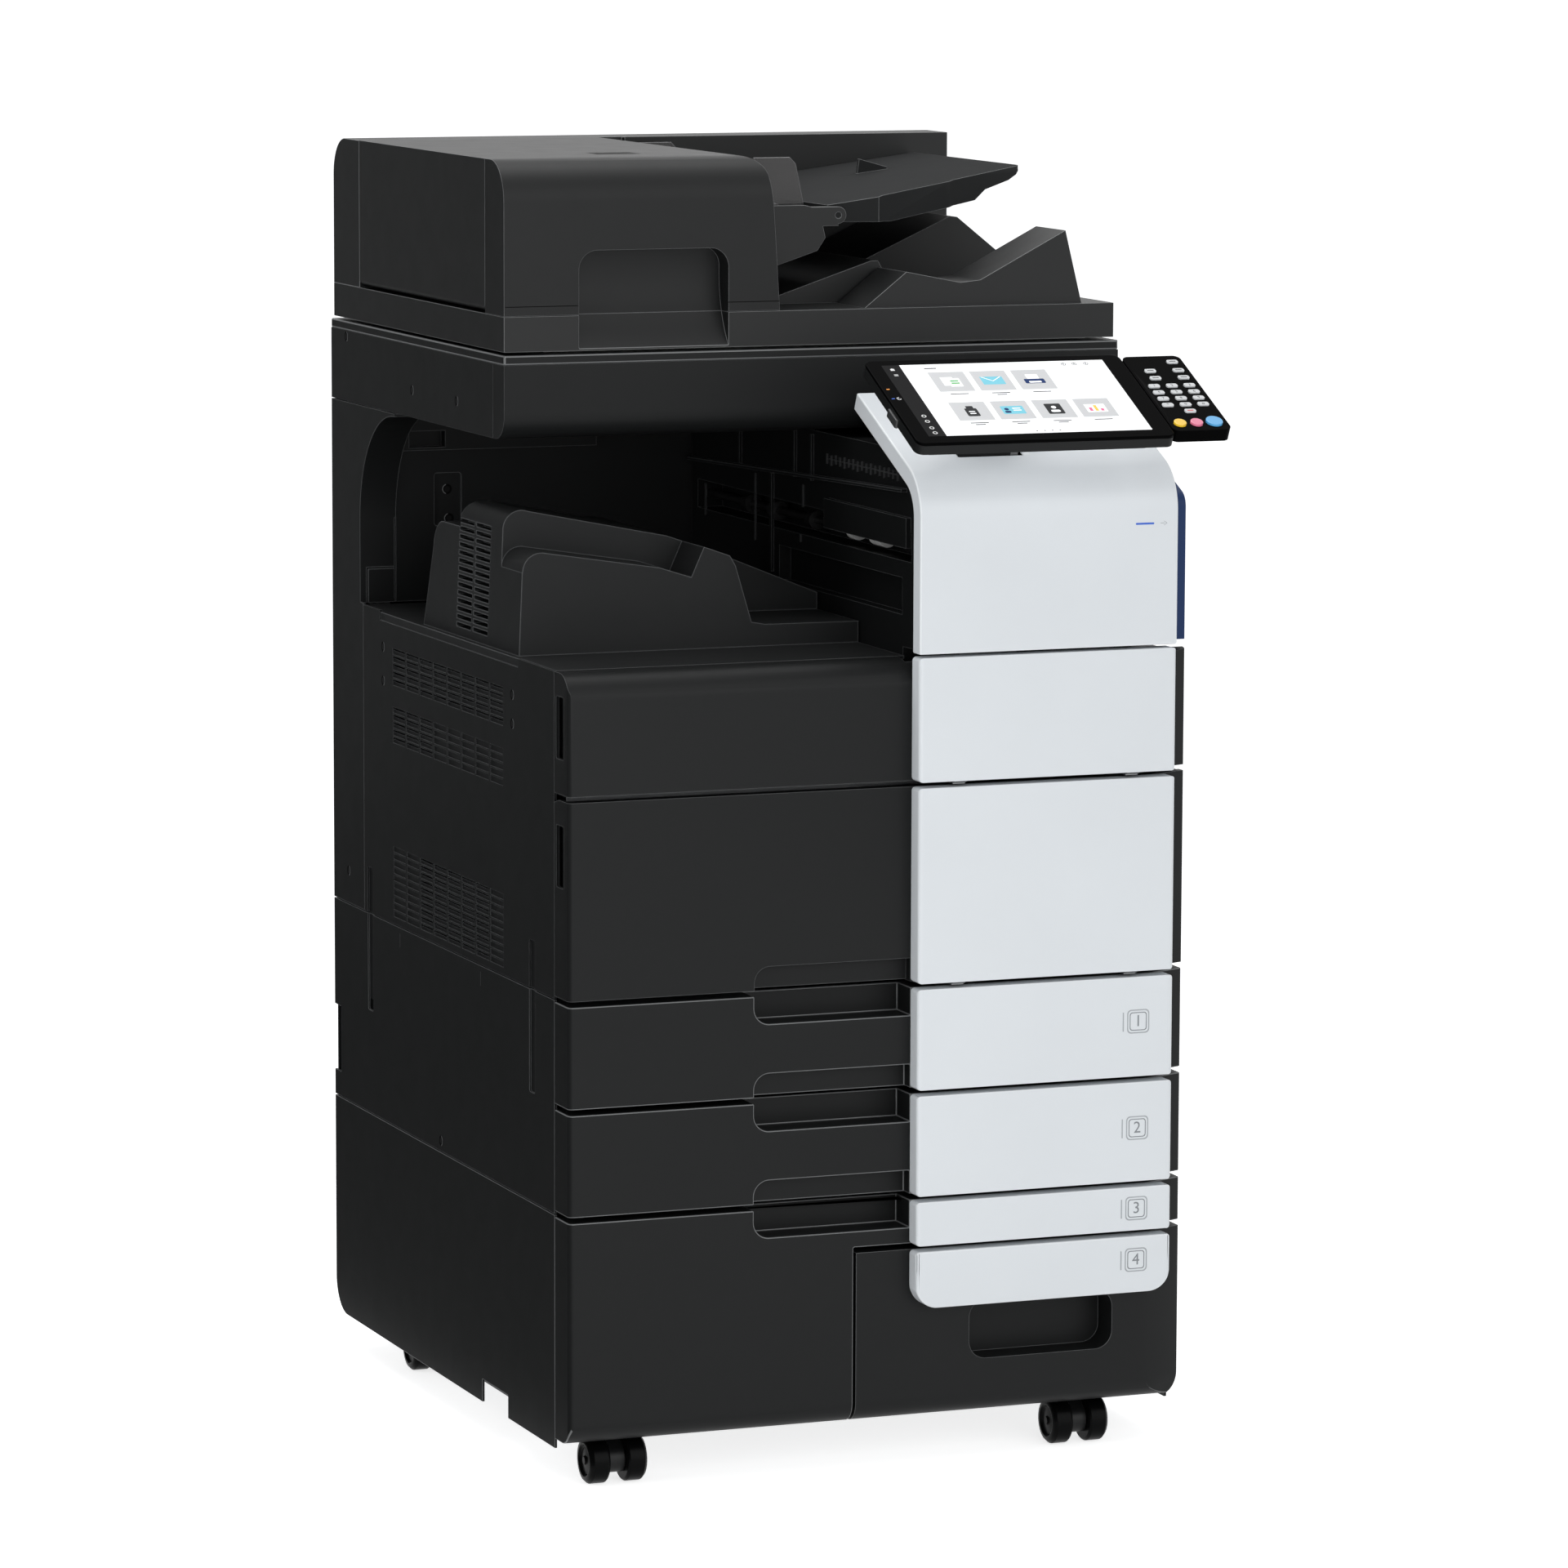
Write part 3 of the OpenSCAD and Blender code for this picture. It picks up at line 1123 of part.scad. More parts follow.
// Front doors: they drop open about pins in the lower edge of their white panels
door_axis_y = -13;
door_axis_rise = 1;
door_pin_r = 1.5;
knuckle_r = 3;
arm_x = [panel_x0 + 36, panel_x1 - 48];
arm_w = 12;
arm_seat = 7;
module door_hinges() color(steel) for (z = [tray1_top, door_split], x = arm_x) {
    axis_z = z + half + door_axis_rise;
    difference() {
        union() {
            block(x, x + arm_w, door_axis_y + 1.5, frame_y + arm_seat,
                  z - shelf_drop, z - shelf_drop + arm_t);
            rod_x(x, x + arm_w, door_axis_y, axis_z, knuckle_r);
        }
        rod_x(x - 1, x + arm_w + 1, door_axis_y, axis_z, door_pin_r + pin_gap);
    }
}
module door_panel(z0, z1) color(white) {
    axis_z = z0 + door_axis_rise;
    difference() {
        union() {
            white_panel(z0, z1, panel_r);
            // Solid lugs beside the knuckles
            for (x = arm_x) block(x - 8, x + arm_w + 8, -panel_out + 1, -2, z0, z0 + 8);
        }
        for (x = arm_x) {
            rod_x(x - 0.6, x + arm_w + 0.6, door_axis_y, axis_z, knuckle_r + 0.8);
            block(x - 0.6, x + arm_w + 0.6, door_axis_y, 1, z0 - 1, axis_z + knuckle_r + 0.8);
        }
    }
    for (x = arm_x) rod_x(x - 5, x + arm_w + 5, door_axis_y, axis_z, door_pin_r);
}
grip_y = [14, 33.5];
module door_grip(z0, z1) along_x(-1, front_t + 1) round_rect(grip_y[0], z0, grip_y[1], z1, 2);
// Rear top corner taken off so that the door clears what is above it as it swings
module strip_corner(x0, z, y, drop) along_x(x0, body_w + 1)
    polygon([[y, z + 1], [y, z], [strip_d + 1, z - drop], [strip_d + 1, z + 1]]);

module lower_door() color(black) {
    z0 = tray1_top + half;
    z1 = door_split - half;
    difference() {
        union() {
            front_piece(strip_d) {
                rect(-1, z0, body_w + 1, z1);
                rect(-1, z0 + front_t, body_w + 1, z1 - front_t);
            }
            scoop_liner(z0);
        }
        scoop_cut(z0);
        door_hollow(z0 - 1, z1 + 1);
        strip_corner(-1, z1, door_t + 12, 3.6);
        door_grip(z1 - 0.441 * (z1 - z0), z1 - 0.127 * (z1 - z0));
    }
    door_back(z0, z1);
}
// Room behind a door, which follows the bend at its right end, and the inner panel that closes the door
door_t = 14;
bend_rise = bend_y * (body_w - front_t - bend_x) / (body_w - bend_x);
module door_hollow(z0, z1) along_z(z0, z1) polygon([[front_t, door_t], [bend_x, door_t],
    [body_w - front_t, door_t + bend_rise], [body_w - front_t, strip_d + 1], [front_t, strip_d + 1]]);
module door_back(z0, z1) along_z(z0 + 1, z1) polygon([
    [front_t - eps, door_t - bin_t], [bend_x, door_t - bin_t],
    [body_w - front_t + eps, door_t - bin_t + bend_rise], [body_w - front_t + eps, door_t + bend_rise],
    [bend_x, door_t], [front_t - eps, door_t]]);
top_r = 24;
// Upper door's wall below its rounded top, moved in by inset
module door_wall(z0, inset, depth) intersection() {
    front_block(inset, depth);
    along_x(-1, body_w + 1) {
        rect(inset, z0, depth, deck_z - top_r);
        rect(top_r, z0, depth, deck_z - inset);
        translate([top_r, deck_z - top_r]) circle(top_r - inset);
    }
}
module upper_door() color(black) {
    z0 = door_split + half;
    difference() {
        door_wall(z0, 0, strip_d);
        door_wall(z0 + front_t, front_t, strip_d - bin_t);
        door_hollow(z0 - 1, deck_z - 6);
        intersection() {
            door_hollow(z0 - 1, deck_z + 1);
            block(panel_x0 - 2, body_w, 0, strip_d + 1, z0 - 1, deck_z + 1);
        }
        strip_corner(panel_x0 - 2, deck_z, door_t + 8, 8);
        door_grip(z0 + 0.29 * (deck_z - z0), z0 + 0.805 * (deck_z - z0));
    }
    door_back(z0, deck_z - top_r);
    // Lip under the curved top
    block(front_t - eps, panel_x0 - 2, door_t - bin_t, door_t, deck_z - top_r - 1, deck_z - 5);
}
module lower_door_panel() door_panel(tray1_top + half, door_split - half);
module upper_door_panel() door_panel(door_split + half, deck_z + door_rise);

// Print engine behind the doors, spread over the room between the chassis plates
engine_w = in_x1 - in_x0;
engine_d = 0.6875 * (back_y - frame_y);
toner_pitch = 0.193 * engine_w;
toner_r = 0.31 * toner_pitch;
drum_pitch = 0.19 * engine_w;
drum_w = 0.352 * drum_pitch;
drum_h = 0.246 * engine_h;
drum_r = 12;
function toner_x(i) = in_x0 + toner_pitch * (0.6 + i);
function drum_x(i) = in_x0 + drum_pitch * (0.574 + i);
toner_z = door_split - shelf_drop;
drum_z = process_z + plate_t;
module toner_cartridges() color(dark) for (i = [0:3]) intersection() {
    union() {
        rod_y(frame_y + 4, frame_y + engine_d - 20, toner_x(i), toner_z + toner_r - 4, toner_r);
        rod_y(frame_y - 2, frame_y + 6, toner_x(i), toner_z + toner_r - 4, toner_r - 8);
    }
    block(0, body_w, 0, body_d, toner_z, deck_plate - plate_t - 1);
}
module drum_units() color("#2f3133") for (i = [0:3]) {
    along_y(frame_y - 2, frame_y + engine_d)
        round_rect(drum_x(i) - drum_w, drum_z, drum_x(i) + drum_w, drum_z + drum_h, 6);
    rod_y(frame_y + 10, frame_y + engine_d - 10, drum_x(i), drum_z + drum_h - 2, drum_r);
}
belt_r = 0.096 * engine_h;
module transfer_unit() color("#1b1c1d") {
    z = drum_z + drum_h - 2 + drum_r + belt_r;
    along_y(frame_y + 14, frame_y + engine_d - 14) {
        rect(drum_x(0) - 30, z - belt_r, drum_x(3) + 50, z + belt_r);
        for (x = [drum_x(0) - 30, drum_x(3) + 50]) translate([x, z]) circle(belt_r);
    }
}
fuser_h = 0.82 * (deck_plate - toner_z);
module fuser_unit() color(dark) {
    x0 = toner_x(3) + toner_r + 12;
    x1 = in_x1 - 6;
    difference() {
        along_y(frame_y + 8, frame_y + engine_d) round_rect(x0, toner_z, x1, toner_z + fuser_h, 6);
        block(x0 + 20, x1 - 20, frame_y + 40, frame_y + engine_d - 40,
              toner_z + 0.64 * fuser_h, toner_z + fuser_h + 9);
    }
    for (x = [x0 + 30, x1 - 30]) rod_y(frame_y + 38, frame_y + engine_d - 38, x, toner_z + 0.62 * fuser_h, 9);
}

// Right door with the fold-down bypass tray
right_t = 24;
bypass = [110, 440, door_z0 + 40, door_z0 + 210];
bypass_axis_x = body_w - 7;
bypass_axis_z = bypass[2] + 8;
bypass_pin_r = 2.5;
module right_door() color(black) difference() {
    union() {
        difference() {
            block(body_w - right_t, body_w, cover_y + 3, right_door_y1, door_z0, right_door_z1);
            block(body_w - right_t - 1, body_w - cover_t, cover_y + 3 + cover_t, right_door_y1 - 14,
                  door_z0 + cover_t, right_door_z1 - cover_t);
        }
        // Tray well with its hinge bosses
        block(body_w - 20, body_w - 1, bypass[0] - 8, bypass[1] + 8, bypass[2] - 6, bypass[3] + 6);
        rod_z(tray1_top - half / 2 - 7, door_z0 + 1, right_axis_x, right_axis_y, right_pin_r);
        rod_z(right_door_z1 - 1, column_z0 + 6, right_axis_x, right_axis_y, right_pin_r);
    }
    block(body_w - 16, body_w + 1, bypass[0] - 1, bypass[1] + 1, bypass[2], bypass[3] + 1);
    rod_y(bypass[0] - 7, bypass[1] + 7, bypass_axis_x, bypass_axis_z, bypass_pin_r + pin_gap);
    // Grip slot at the front edge
    along_x(body_w - cover_t - 1, body_w + 1)
        round_rect(cover_y + 16, door_z0 + 120, cover_y + 40, door_z0 + 190, 6);
}
module bypass_tray() color(black) {
    difference() {
        union() {
            block(body_w - 12, body_w - 2, bypass[0], bypass[1], bypass_axis_z, bypass[3]);
            rod_y(bypass[0], bypass[1], bypass_axis_x, bypass_axis_z, 5);
        }
        block(body_w - 13, body_w - 5, bypass[0] + 10, bypass[1] - 10, bypass_axis_z + 12, bypass[3] - 10);
        along_x(body_w - 5, body_w) round_rect(240, bypass[3] - 26, 310, bypass[3] + 20, 8);
    }
    rod_y(bypass[0] - 6, bypass[1] + 6, bypass_axis_x, bypass_axis_z, bypass_pin_r);
}

// Casters: a swivelling fork on a stem and a pair of wheels on its axle
axle_z = -skirt_h + wheel_d / 2;
axle_r = 4;
hub_w = 16;
module caster(x, y) color("#1c1d1e") difference() {
    union() {
        rod_z(pan_z0 - 2, pan_z1 + socket_h - plate_t - 1, x, y, stem_r);
        rod_z(pan_z0 - slide_gap - 3, pan_z0 - slide_gap, x, y, 17);
        along_x(x - hub_w / 2, x + hub_w / 2) {
            translate([y - trail, axle_z]) circle(13);
            polygon([[y - trail - 9, axle_z + 8], [y - 12, pan_z0 - slide_gap - 1],
                [y + 14, pan_z0 - slide_gap - 1],
                     [y + 8, axle_z + 8], [y - trail + 9, axle_z - 8]]);
        }
    }
    rod_x(x - hub_w, x + hub_w, y - trail, axle_z, axle_r + pin_gap);
}
module wheel_pair(x, y) color("#141516") {
    rod_x(x - hub_w / 2 - wheel_w, x + hub_w / 2 + wheel_w, y - trail, axle_z, axle_r);
    for (side = [-1, 1]) translate([x + side * (hub_w / 2 + 0.5), y - trail, axle_z])
        rotate([0, side * 90, 0]) rotate_extrude() polygon([[axle_r - 1, 0], [wheel_d / 2 - 2, 0],
            [wheel_d / 2, 2], [wheel_d / 2, wheel_w - 4], [wheel_d / 2 - 3, wheel_w - 1],
            [wheel_d / 2 - 7, wheel_w - 0.5], [wheel_d / 2 - 9, wheel_w - 3], [axle_r - 1, wheel_w - 2]]);
}
module caster_front_left() caster(caster_x0, caster_y0);
module caster_front_right() caster(caster_x1, caster_y0);
module caster_rear_left() caster(caster_x0, caster_y1);
module caster_rear_right() caster(caster_x1, caster_y1);
module wheels_front_left() wheel_pair(caster_x0, caster_y0);
module wheels_front_right() wheel_pair(caster_x1, caster_y0);
module wheels_rear_left() wheel_pair(caster_x0, caster_y1);
module wheels_rear_right() wheel_pair(caster_x1, caster_y1);

stand() chassis();
stand() left_base_cover();
stand() left_lower_cover();
stand() left_upper_cover();
stand() rear_pillar_cover();
stand() rear_cover();
stand() right_lower_cover();
stand() right_column_cover();
stand() column_cover();
stand() output_tray();
stand() exit_unit();
stand() exit_rollers();
stand() scanner_body();
stand() scanner_top();
stand() platen_glass();
stand() scan_carriage();
stand() lid_hinges();
stand() door_hinges();
stand() toner_cartridges();
stand() drum_units();
stand() transfer_unit();
stand() fuser_unit();
stand() upper_door();
stand() upper_door_panel();
stand() lower_door();
stand() lower_door_panel();
stand() tray_1();
stand() tray_1_panel();
stand() tray_2();
stand() tray_2_panel();
stand() tray_3();
stand() tray_3_panel();
stand() tray_4();
stand() tray_4_panel();
stand() feeder_base();
stand() platen_pad();
stand() feeder_front();
stand() feeder_rear();
stand() feed_cover();
stand() feed_rollers();
stand() document_tray();
stand() front_guide();
stand() rear_guide();
stand() panel_housing();
stand() panel_glass();
stand() keypad_housing();
stand() small_keys();
stand() reset_key();
stand() stop_key();
stand() start_key();
stand() right_door();
stand() bypass_tray();
stand() caster_front_left();
stand() caster_front_right();
stand() caster_rear_left();
stand() caster_rear_right();
stand() wheels_front_left();
stand() wheels_front_right();
stand() wheels_rear_left();
stand() wheels_rear_right();
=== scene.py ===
"""Looks of a floor-standing photocopier.

Gives the CAD nodes their finishes and rounded edges, and adds the thin pieces on their surfaces.
"""
import json
import math

import bmesh
import bpy
from mathutils import Matrix, Quaternion, Vector


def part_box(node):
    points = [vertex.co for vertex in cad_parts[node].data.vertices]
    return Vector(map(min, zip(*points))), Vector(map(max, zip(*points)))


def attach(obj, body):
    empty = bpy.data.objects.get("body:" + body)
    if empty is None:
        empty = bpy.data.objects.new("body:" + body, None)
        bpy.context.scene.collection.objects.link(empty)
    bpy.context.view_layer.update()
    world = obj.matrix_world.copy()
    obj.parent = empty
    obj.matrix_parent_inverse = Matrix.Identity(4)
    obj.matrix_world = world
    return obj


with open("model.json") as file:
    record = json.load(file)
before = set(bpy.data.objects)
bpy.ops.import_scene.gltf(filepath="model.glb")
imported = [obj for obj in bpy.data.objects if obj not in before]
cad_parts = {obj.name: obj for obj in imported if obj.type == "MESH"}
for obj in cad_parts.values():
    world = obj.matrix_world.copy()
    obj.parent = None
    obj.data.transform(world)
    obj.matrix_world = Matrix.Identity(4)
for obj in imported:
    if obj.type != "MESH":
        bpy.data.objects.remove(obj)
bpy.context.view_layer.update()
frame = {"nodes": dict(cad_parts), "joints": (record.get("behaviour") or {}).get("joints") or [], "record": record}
NODES = frame["nodes"]
MM = 0.001

# Places on the cabinet are in millimetres from its left face, the front covers' plane and the skirt's
# lower edge, which meet at the lowest corner of drawer 3.
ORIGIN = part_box("tray_3")[0]


def at(x, y, z):
    return ORIGIN + Vector((x, y, z)) * MM


def edge(node, axis, side):
    """One face of a node's box, in cabinet millimetres: axis 0 to 2, side 0 low and 1 high."""
    return (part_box(node)[side][axis] - ORIGIN[axis]) / MM


# Materials

# Most values of a noise texture lie between these two
NOISE_LOW = 0.3
NOISE_HIGH = 0.7
# Sizes of noise, in features per metre
BLOTCH_SCALE = 9.0
POLISH_SCALE = 40.0
FILM_SCALE = 60.0
PEEL_SCALE = 260.0
GRAIN_SCALE = 1500.0
PIXEL_SCALE = 3000.0
GRAIN_DEPTH_M = 0.0002
# Cosines between a rounded and a flat normal where the painted edge highlight begins and where it is full
HIGHLIGHT_BEGINS = 0.97
HIGHLIGHT_FULL = 0.80


def shader(name):
    mat = bpy.data.materials.new(name)
    mat.use_nodes = True
    return mat, mat.node_tree.nodes, mat.node_tree.links, mat.node_tree.nodes["Principled BSDF"]


def noise(nodes, links, scale, detail=3.0):
    place = nodes.new("ShaderNodeTexCoord")
    tex = nodes.new("ShaderNodeTexNoise")
    tex.inputs["Scale"].default_value = scale
    tex.inputs["Detail"].default_value = detail
    links.new(place.outputs["Object"], tex.inputs["Vector"])
    return tex.outputs["Fac"]


def spread(nodes, links, source, low, high):
    span = nodes.new("ShaderNodeMapRange")
    span.inputs["From Min"].default_value = NOISE_LOW
    span.inputs["From Max"].default_value = NOISE_HIGH
    span.inputs["To Min"].default_value = low
    span.inputs["To Max"].default_value = high
    links.new(source, span.inputs["Value"])
    return span.outputs["Result"]


def moulded(name, colour, rough, grain=GRAIN_SCALE, depth=0.12, vary=0.08, coat=0.0, specular=0.5,
            uneven=0.02):
    """Moulded plastic: fine spark-eroded grain, faint blotches of colour and uneven polish."""
    mat, nodes, links, bsdf = shader(name)
    ramp = nodes.new("ShaderNodeValToRGB")
    ramp.color_ramp.elements[0].position = NOISE_LOW
    ramp.color_ramp.elements[1].position = NOISE_HIGH
    for stop, gain in zip(ramp.color_ramp.elements, (1 - vary, 1 + vary)):
        stop.color = [min(1.0, c * gain) for c in colour] + [1.0]
    links.new(noise(nodes, links, BLOTCH_SCALE), ramp.inputs["Fac"])
    links.new(ramp.outputs["Color"], bsdf.inputs["Base Color"])
    fine = noise(nodes, links, grain, 2.0)
    patches = noise(nodes, links, POLISH_SCALE)
    polish = spread(nodes, links, patches, rough - uneven, rough + uneven)
    links.new(polish, bsdf.inputs["Roughness"])
    bump = nodes.new("ShaderNodeBump")
    bump.inputs["Strength"].default_value = depth
    bump.inputs["Distance"].default_value = GRAIN_DEPTH_M
    links.new(fine, bump.inputs["Height"])
    links.new(bump.outputs["Normal"], bsdf.inputs["Normal"])
    bsdf.inputs["Specular IOR Level"].default_value = specular
    bsdf.inputs["Coat Weight"].default_value = coat
    bsdf.inputs["Coat Roughness"].default_value = 0.08
    return mat


def worn(name, colour, edge_colour, radius_mm, rough=0.46, specular=0.13):
    """Moulded plastic with its corners, as far as that radius, painted paler as a highlight."""
    mat = moulded(name, colour, rough, vary=0.02, specular=specular, uneven=0.012)
    nodes, links = mat.node_tree.nodes, mat.node_tree.links
    bsdf = nodes["Principled BSDF"]
    plain = bsdf.inputs["Base Color"].links[0].from_socket
    rounding = nodes.new("ShaderNodeBevel")
    rounding.samples = 6
    rounding.inputs["Radius"].default_value = radius_mm * MM
    flat = nodes.new("ShaderNodeNewGeometry")
    match = nodes.new("ShaderNodeVectorMath")
    match.operation = "DOT_PRODUCT"
    links.new(rounding.outputs["Normal"], match.inputs[0])
    links.new(flat.outputs["True Normal"], match.inputs[1])
    # Where the rounded normal leaves the flat one, the colour turns to the painted highlight
    corner = nodes.new("ShaderNodeMapRange")
    corner.inputs["From Min"].default_value = HIGHLIGHT_BEGINS
    corner.inputs["From Max"].default_value = HIGHLIGHT_FULL
    links.new(match.outputs["Value"], corner.inputs["Value"])
    mix = nodes.new("ShaderNodeMix")
    mix.data_type = "RGBA"
    mix.inputs["B"].default_value = (*edge_colour, 1)
    links.new(corner.outputs["Result"], mix.inputs["Factor"])
    links.new(plain, mix.inputs["A"])
    links.new(mix.outputs["Result"], bsdf.inputs["Base Color"])
    return mat


def polished(name, colour, rough, coat=0.6, specular=0.5):
    """Gloss plastic with a faint orange-peel surface."""
    return moulded(name, colour, rough, PEEL_SCALE, depth=0.02, vary=0.03, coat=coat, specular=specular)


def sheet_steel(name):
    """Zinc-plated sheet: streaked along its length, with soft spangle."""
    mat, nodes, links, bsdf = shader(name)
    place = nodes.new("ShaderNodeTexCoord")
    stretch = nodes.new("ShaderNodeMapping")
    stretch.inputs["Scale"].default_value = (40, 900, 900)
    tex = nodes.new("ShaderNodeTexNoise")
    tex.inputs["Scale"].default_value = 1.0
    links.new(place.outputs["Object"], stretch.inputs["Vector"])
    links.new(stretch.outputs["Vector"], tex.inputs["Vector"])
    ramp = nodes.new("ShaderNodeValToRGB")
    ramp.color_ramp.elements[0].color = (0.16, 0.165, 0.17, 1)
    ramp.color_ramp.elements[1].color = (0.26, 0.265, 0.27, 1)
    links.new(tex.outputs["Fac"], ramp.inputs["Fac"])
    links.new(ramp.outputs["Color"], bsdf.inputs["Base Color"])
    links.new(spread(nodes, links, tex.outputs["Fac"], 0.38, 0.55), bsdf.inputs["Roughness"])
    bsdf.inputs["Metallic"].default_value = 0.9
    return mat


def clear(name, colour, rough, alpha, specular=0.5, coat=0.5):
    """See-through plastic or glass as a tinted film with a gloss coat."""
    mat, nodes, links, bsdf = shader(name)
    bsdf.inputs["Base Color"].default_value = (*colour, 1)
    haze = spread(nodes, links, noise(nodes, links, FILM_SCALE), rough, rough + 0.06)
    links.new(haze, bsdf.inputs["Roughness"])
    bsdf.inputs["Alpha"].default_value = alpha
    bsdf.inputs["Specular IOR Level"].default_value = specular
    bsdf.inputs["Coat Weight"].default_value = coat
    return mat


def lit(name, colour, strength, specular=0.5):
    """A screen or lamp surface: its own light over a satin face with a faint pixel grain."""
    mat, nodes, links, bsdf = shader(name)
    ramp = nodes.new("ShaderNodeValToRGB")
    ramp.color_ramp.elements[0].color = (*[c * 0.985 for c in colour], 1)
    ramp.color_ramp.elements[1].color = (*colour, 1)
    links.new(noise(nodes, links, PIXEL_SCALE, 0.0), ramp.inputs["Fac"])
    links.new(ramp.outputs["Color"], bsdf.inputs["Base Color"])
    links.new(ramp.outputs["Color"], bsdf.inputs["Emission Color"])
    bsdf.inputs["Emission Strength"].default_value = strength
    bsdf.inputs["Specular IOR Level"].default_value = specular
    bsdf.inputs["Roughness"].default_value = 0.25
    return mat


BLACK = (0.0082, 0.0087, 0.0089)
# Paler grey painted on rounded corners and rims as a highlight
HIGHLIGHT_GREY = (0.12, 0.124, 0.126)
MATS = {
    "black_plastic": moulded("black_plastic", BLACK, 0.46, vary=0.02, specular=0.13, uneven=0.012),
    "dark_plastic": moulded("dark_plastic", (0.0070, 0.0073, 0.0076), 0.42, vary=0.04, specular=0.2),
    "white_plastic": moulded("white_plastic", (0.70, 0.73, 0.755), 0.36, depth=0.05, vary=0.012),
    "gloss_black": polished("gloss_black", (0.0013, 0.0013, 0.0014), 0.12, coat=0.0, specular=0.01),
    "navy_plastic": moulded("navy_plastic", (0.008, 0.027, 0.095), 0.42, depth=0.05, vary=0.03,
                            specular=0.2),
    "pale_plastic": moulded("pale_plastic", (0.62, 0.62, 0.60), 0.4, vary=0.04),
    "steel": sheet_steel("steel"),
    "glass": clear("glass", (0.75, 0.85, 0.83), 0.03, 0.25),
    "belt_rubber": moulded("belt_rubber", (0.012, 0.012, 0.013), 0.3, grain=500.0, depth=0.05),
    "roller_rubber": moulded("roller_rubber", (0.10, 0.10, 0.105), 0.7, grain=2500.0, depth=0.3),
    "pad_white": moulded("pad_white", (0.82, 0.82, 0.80), 0.55, vary=0.02),
    "smoke_plastic": clear("smoke_plastic", (0.05, 0.0485, 0.0485), 0.2, 0.8, specular=0.3, coat=0.2),
    "key_silver": moulded("key_silver", (0.55, 0.56, 0.57), 0.35, depth=0.05, vary=0.03),
    "key_yellow": polished("key_yellow", (0.80, 0.50, 0.02), 0.24),
    "key_pink": polished("key_pink", (0.70, 0.17, 0.28), 0.24),
    "key_blue": polished("key_blue", (0.08, 0.36, 0.68), 0.24),
    "caster_plastic": moulded("caster_plastic", (0.0016, 0.0017, 0.0018), 0.3, specular=0.05),
}
# Finishes of nodes that are duller or glossier than the rest of their plastic, or carry painted highlights on
# their corners
SATIN = moulded("satin_black", BLACK, 0.44, vary=0.02, specular=0.24, uneven=0.012)
HALF_SATIN = moulded("half_satin_black", BLACK, 0.45, vary=0.02, specular=0.18, uneven=0.012)
DULL = worn("dull_black", (0.022, 0.0227, 0.0231), HIGHLIGHT_GREY, 1.2, rough=0.8, specular=0.04)
# Base colour, radius of the painted highlight on the corners in millimetres and specular level
HIGHLIGHT_NODES = {
    # The output tray's black is a paler copy of the rest, painted lighter in place of light it lacks in the bay
    "output_tray": ((0.0128, 0.0134, 0.0137), 2.0, 0.13),
    "rear_pillar_cover": (BLACK, 1.4, 0.13),
    "exit_unit": ((0.0066, 0.0070, 0.0072), 1.0, 0.09),
    "upper_door": (BLACK, 1.0, 0.14),
    "lower_door": (BLACK, 1.0, 0.13),
    "tray_4": (BLACK, 1.0, 0.13),
    "left_upper_cover": (BLACK, 0.6, 0.13),
    "left_lower_cover": (BLACK, 1.2, 0.13),
    "left_base_cover": (BLACK, 1.2, 0.13),
    "rear_cover": (BLACK, 0.6, 0.13),
}
FINISH = {
    "feeder_base": SATIN,
    "feeder_front": HALF_SATIN,
    "feeder_rear": SATIN,
    "feed_cover": SATIN,
    "document_tray": DULL,
}
for node_name, (base, radius, shine) in HIGHLIGHT_NODES.items():
    FINISH[node_name] = worn("worn_" + node_name, base, HIGHLIGHT_GREY, radius, specular=shine)
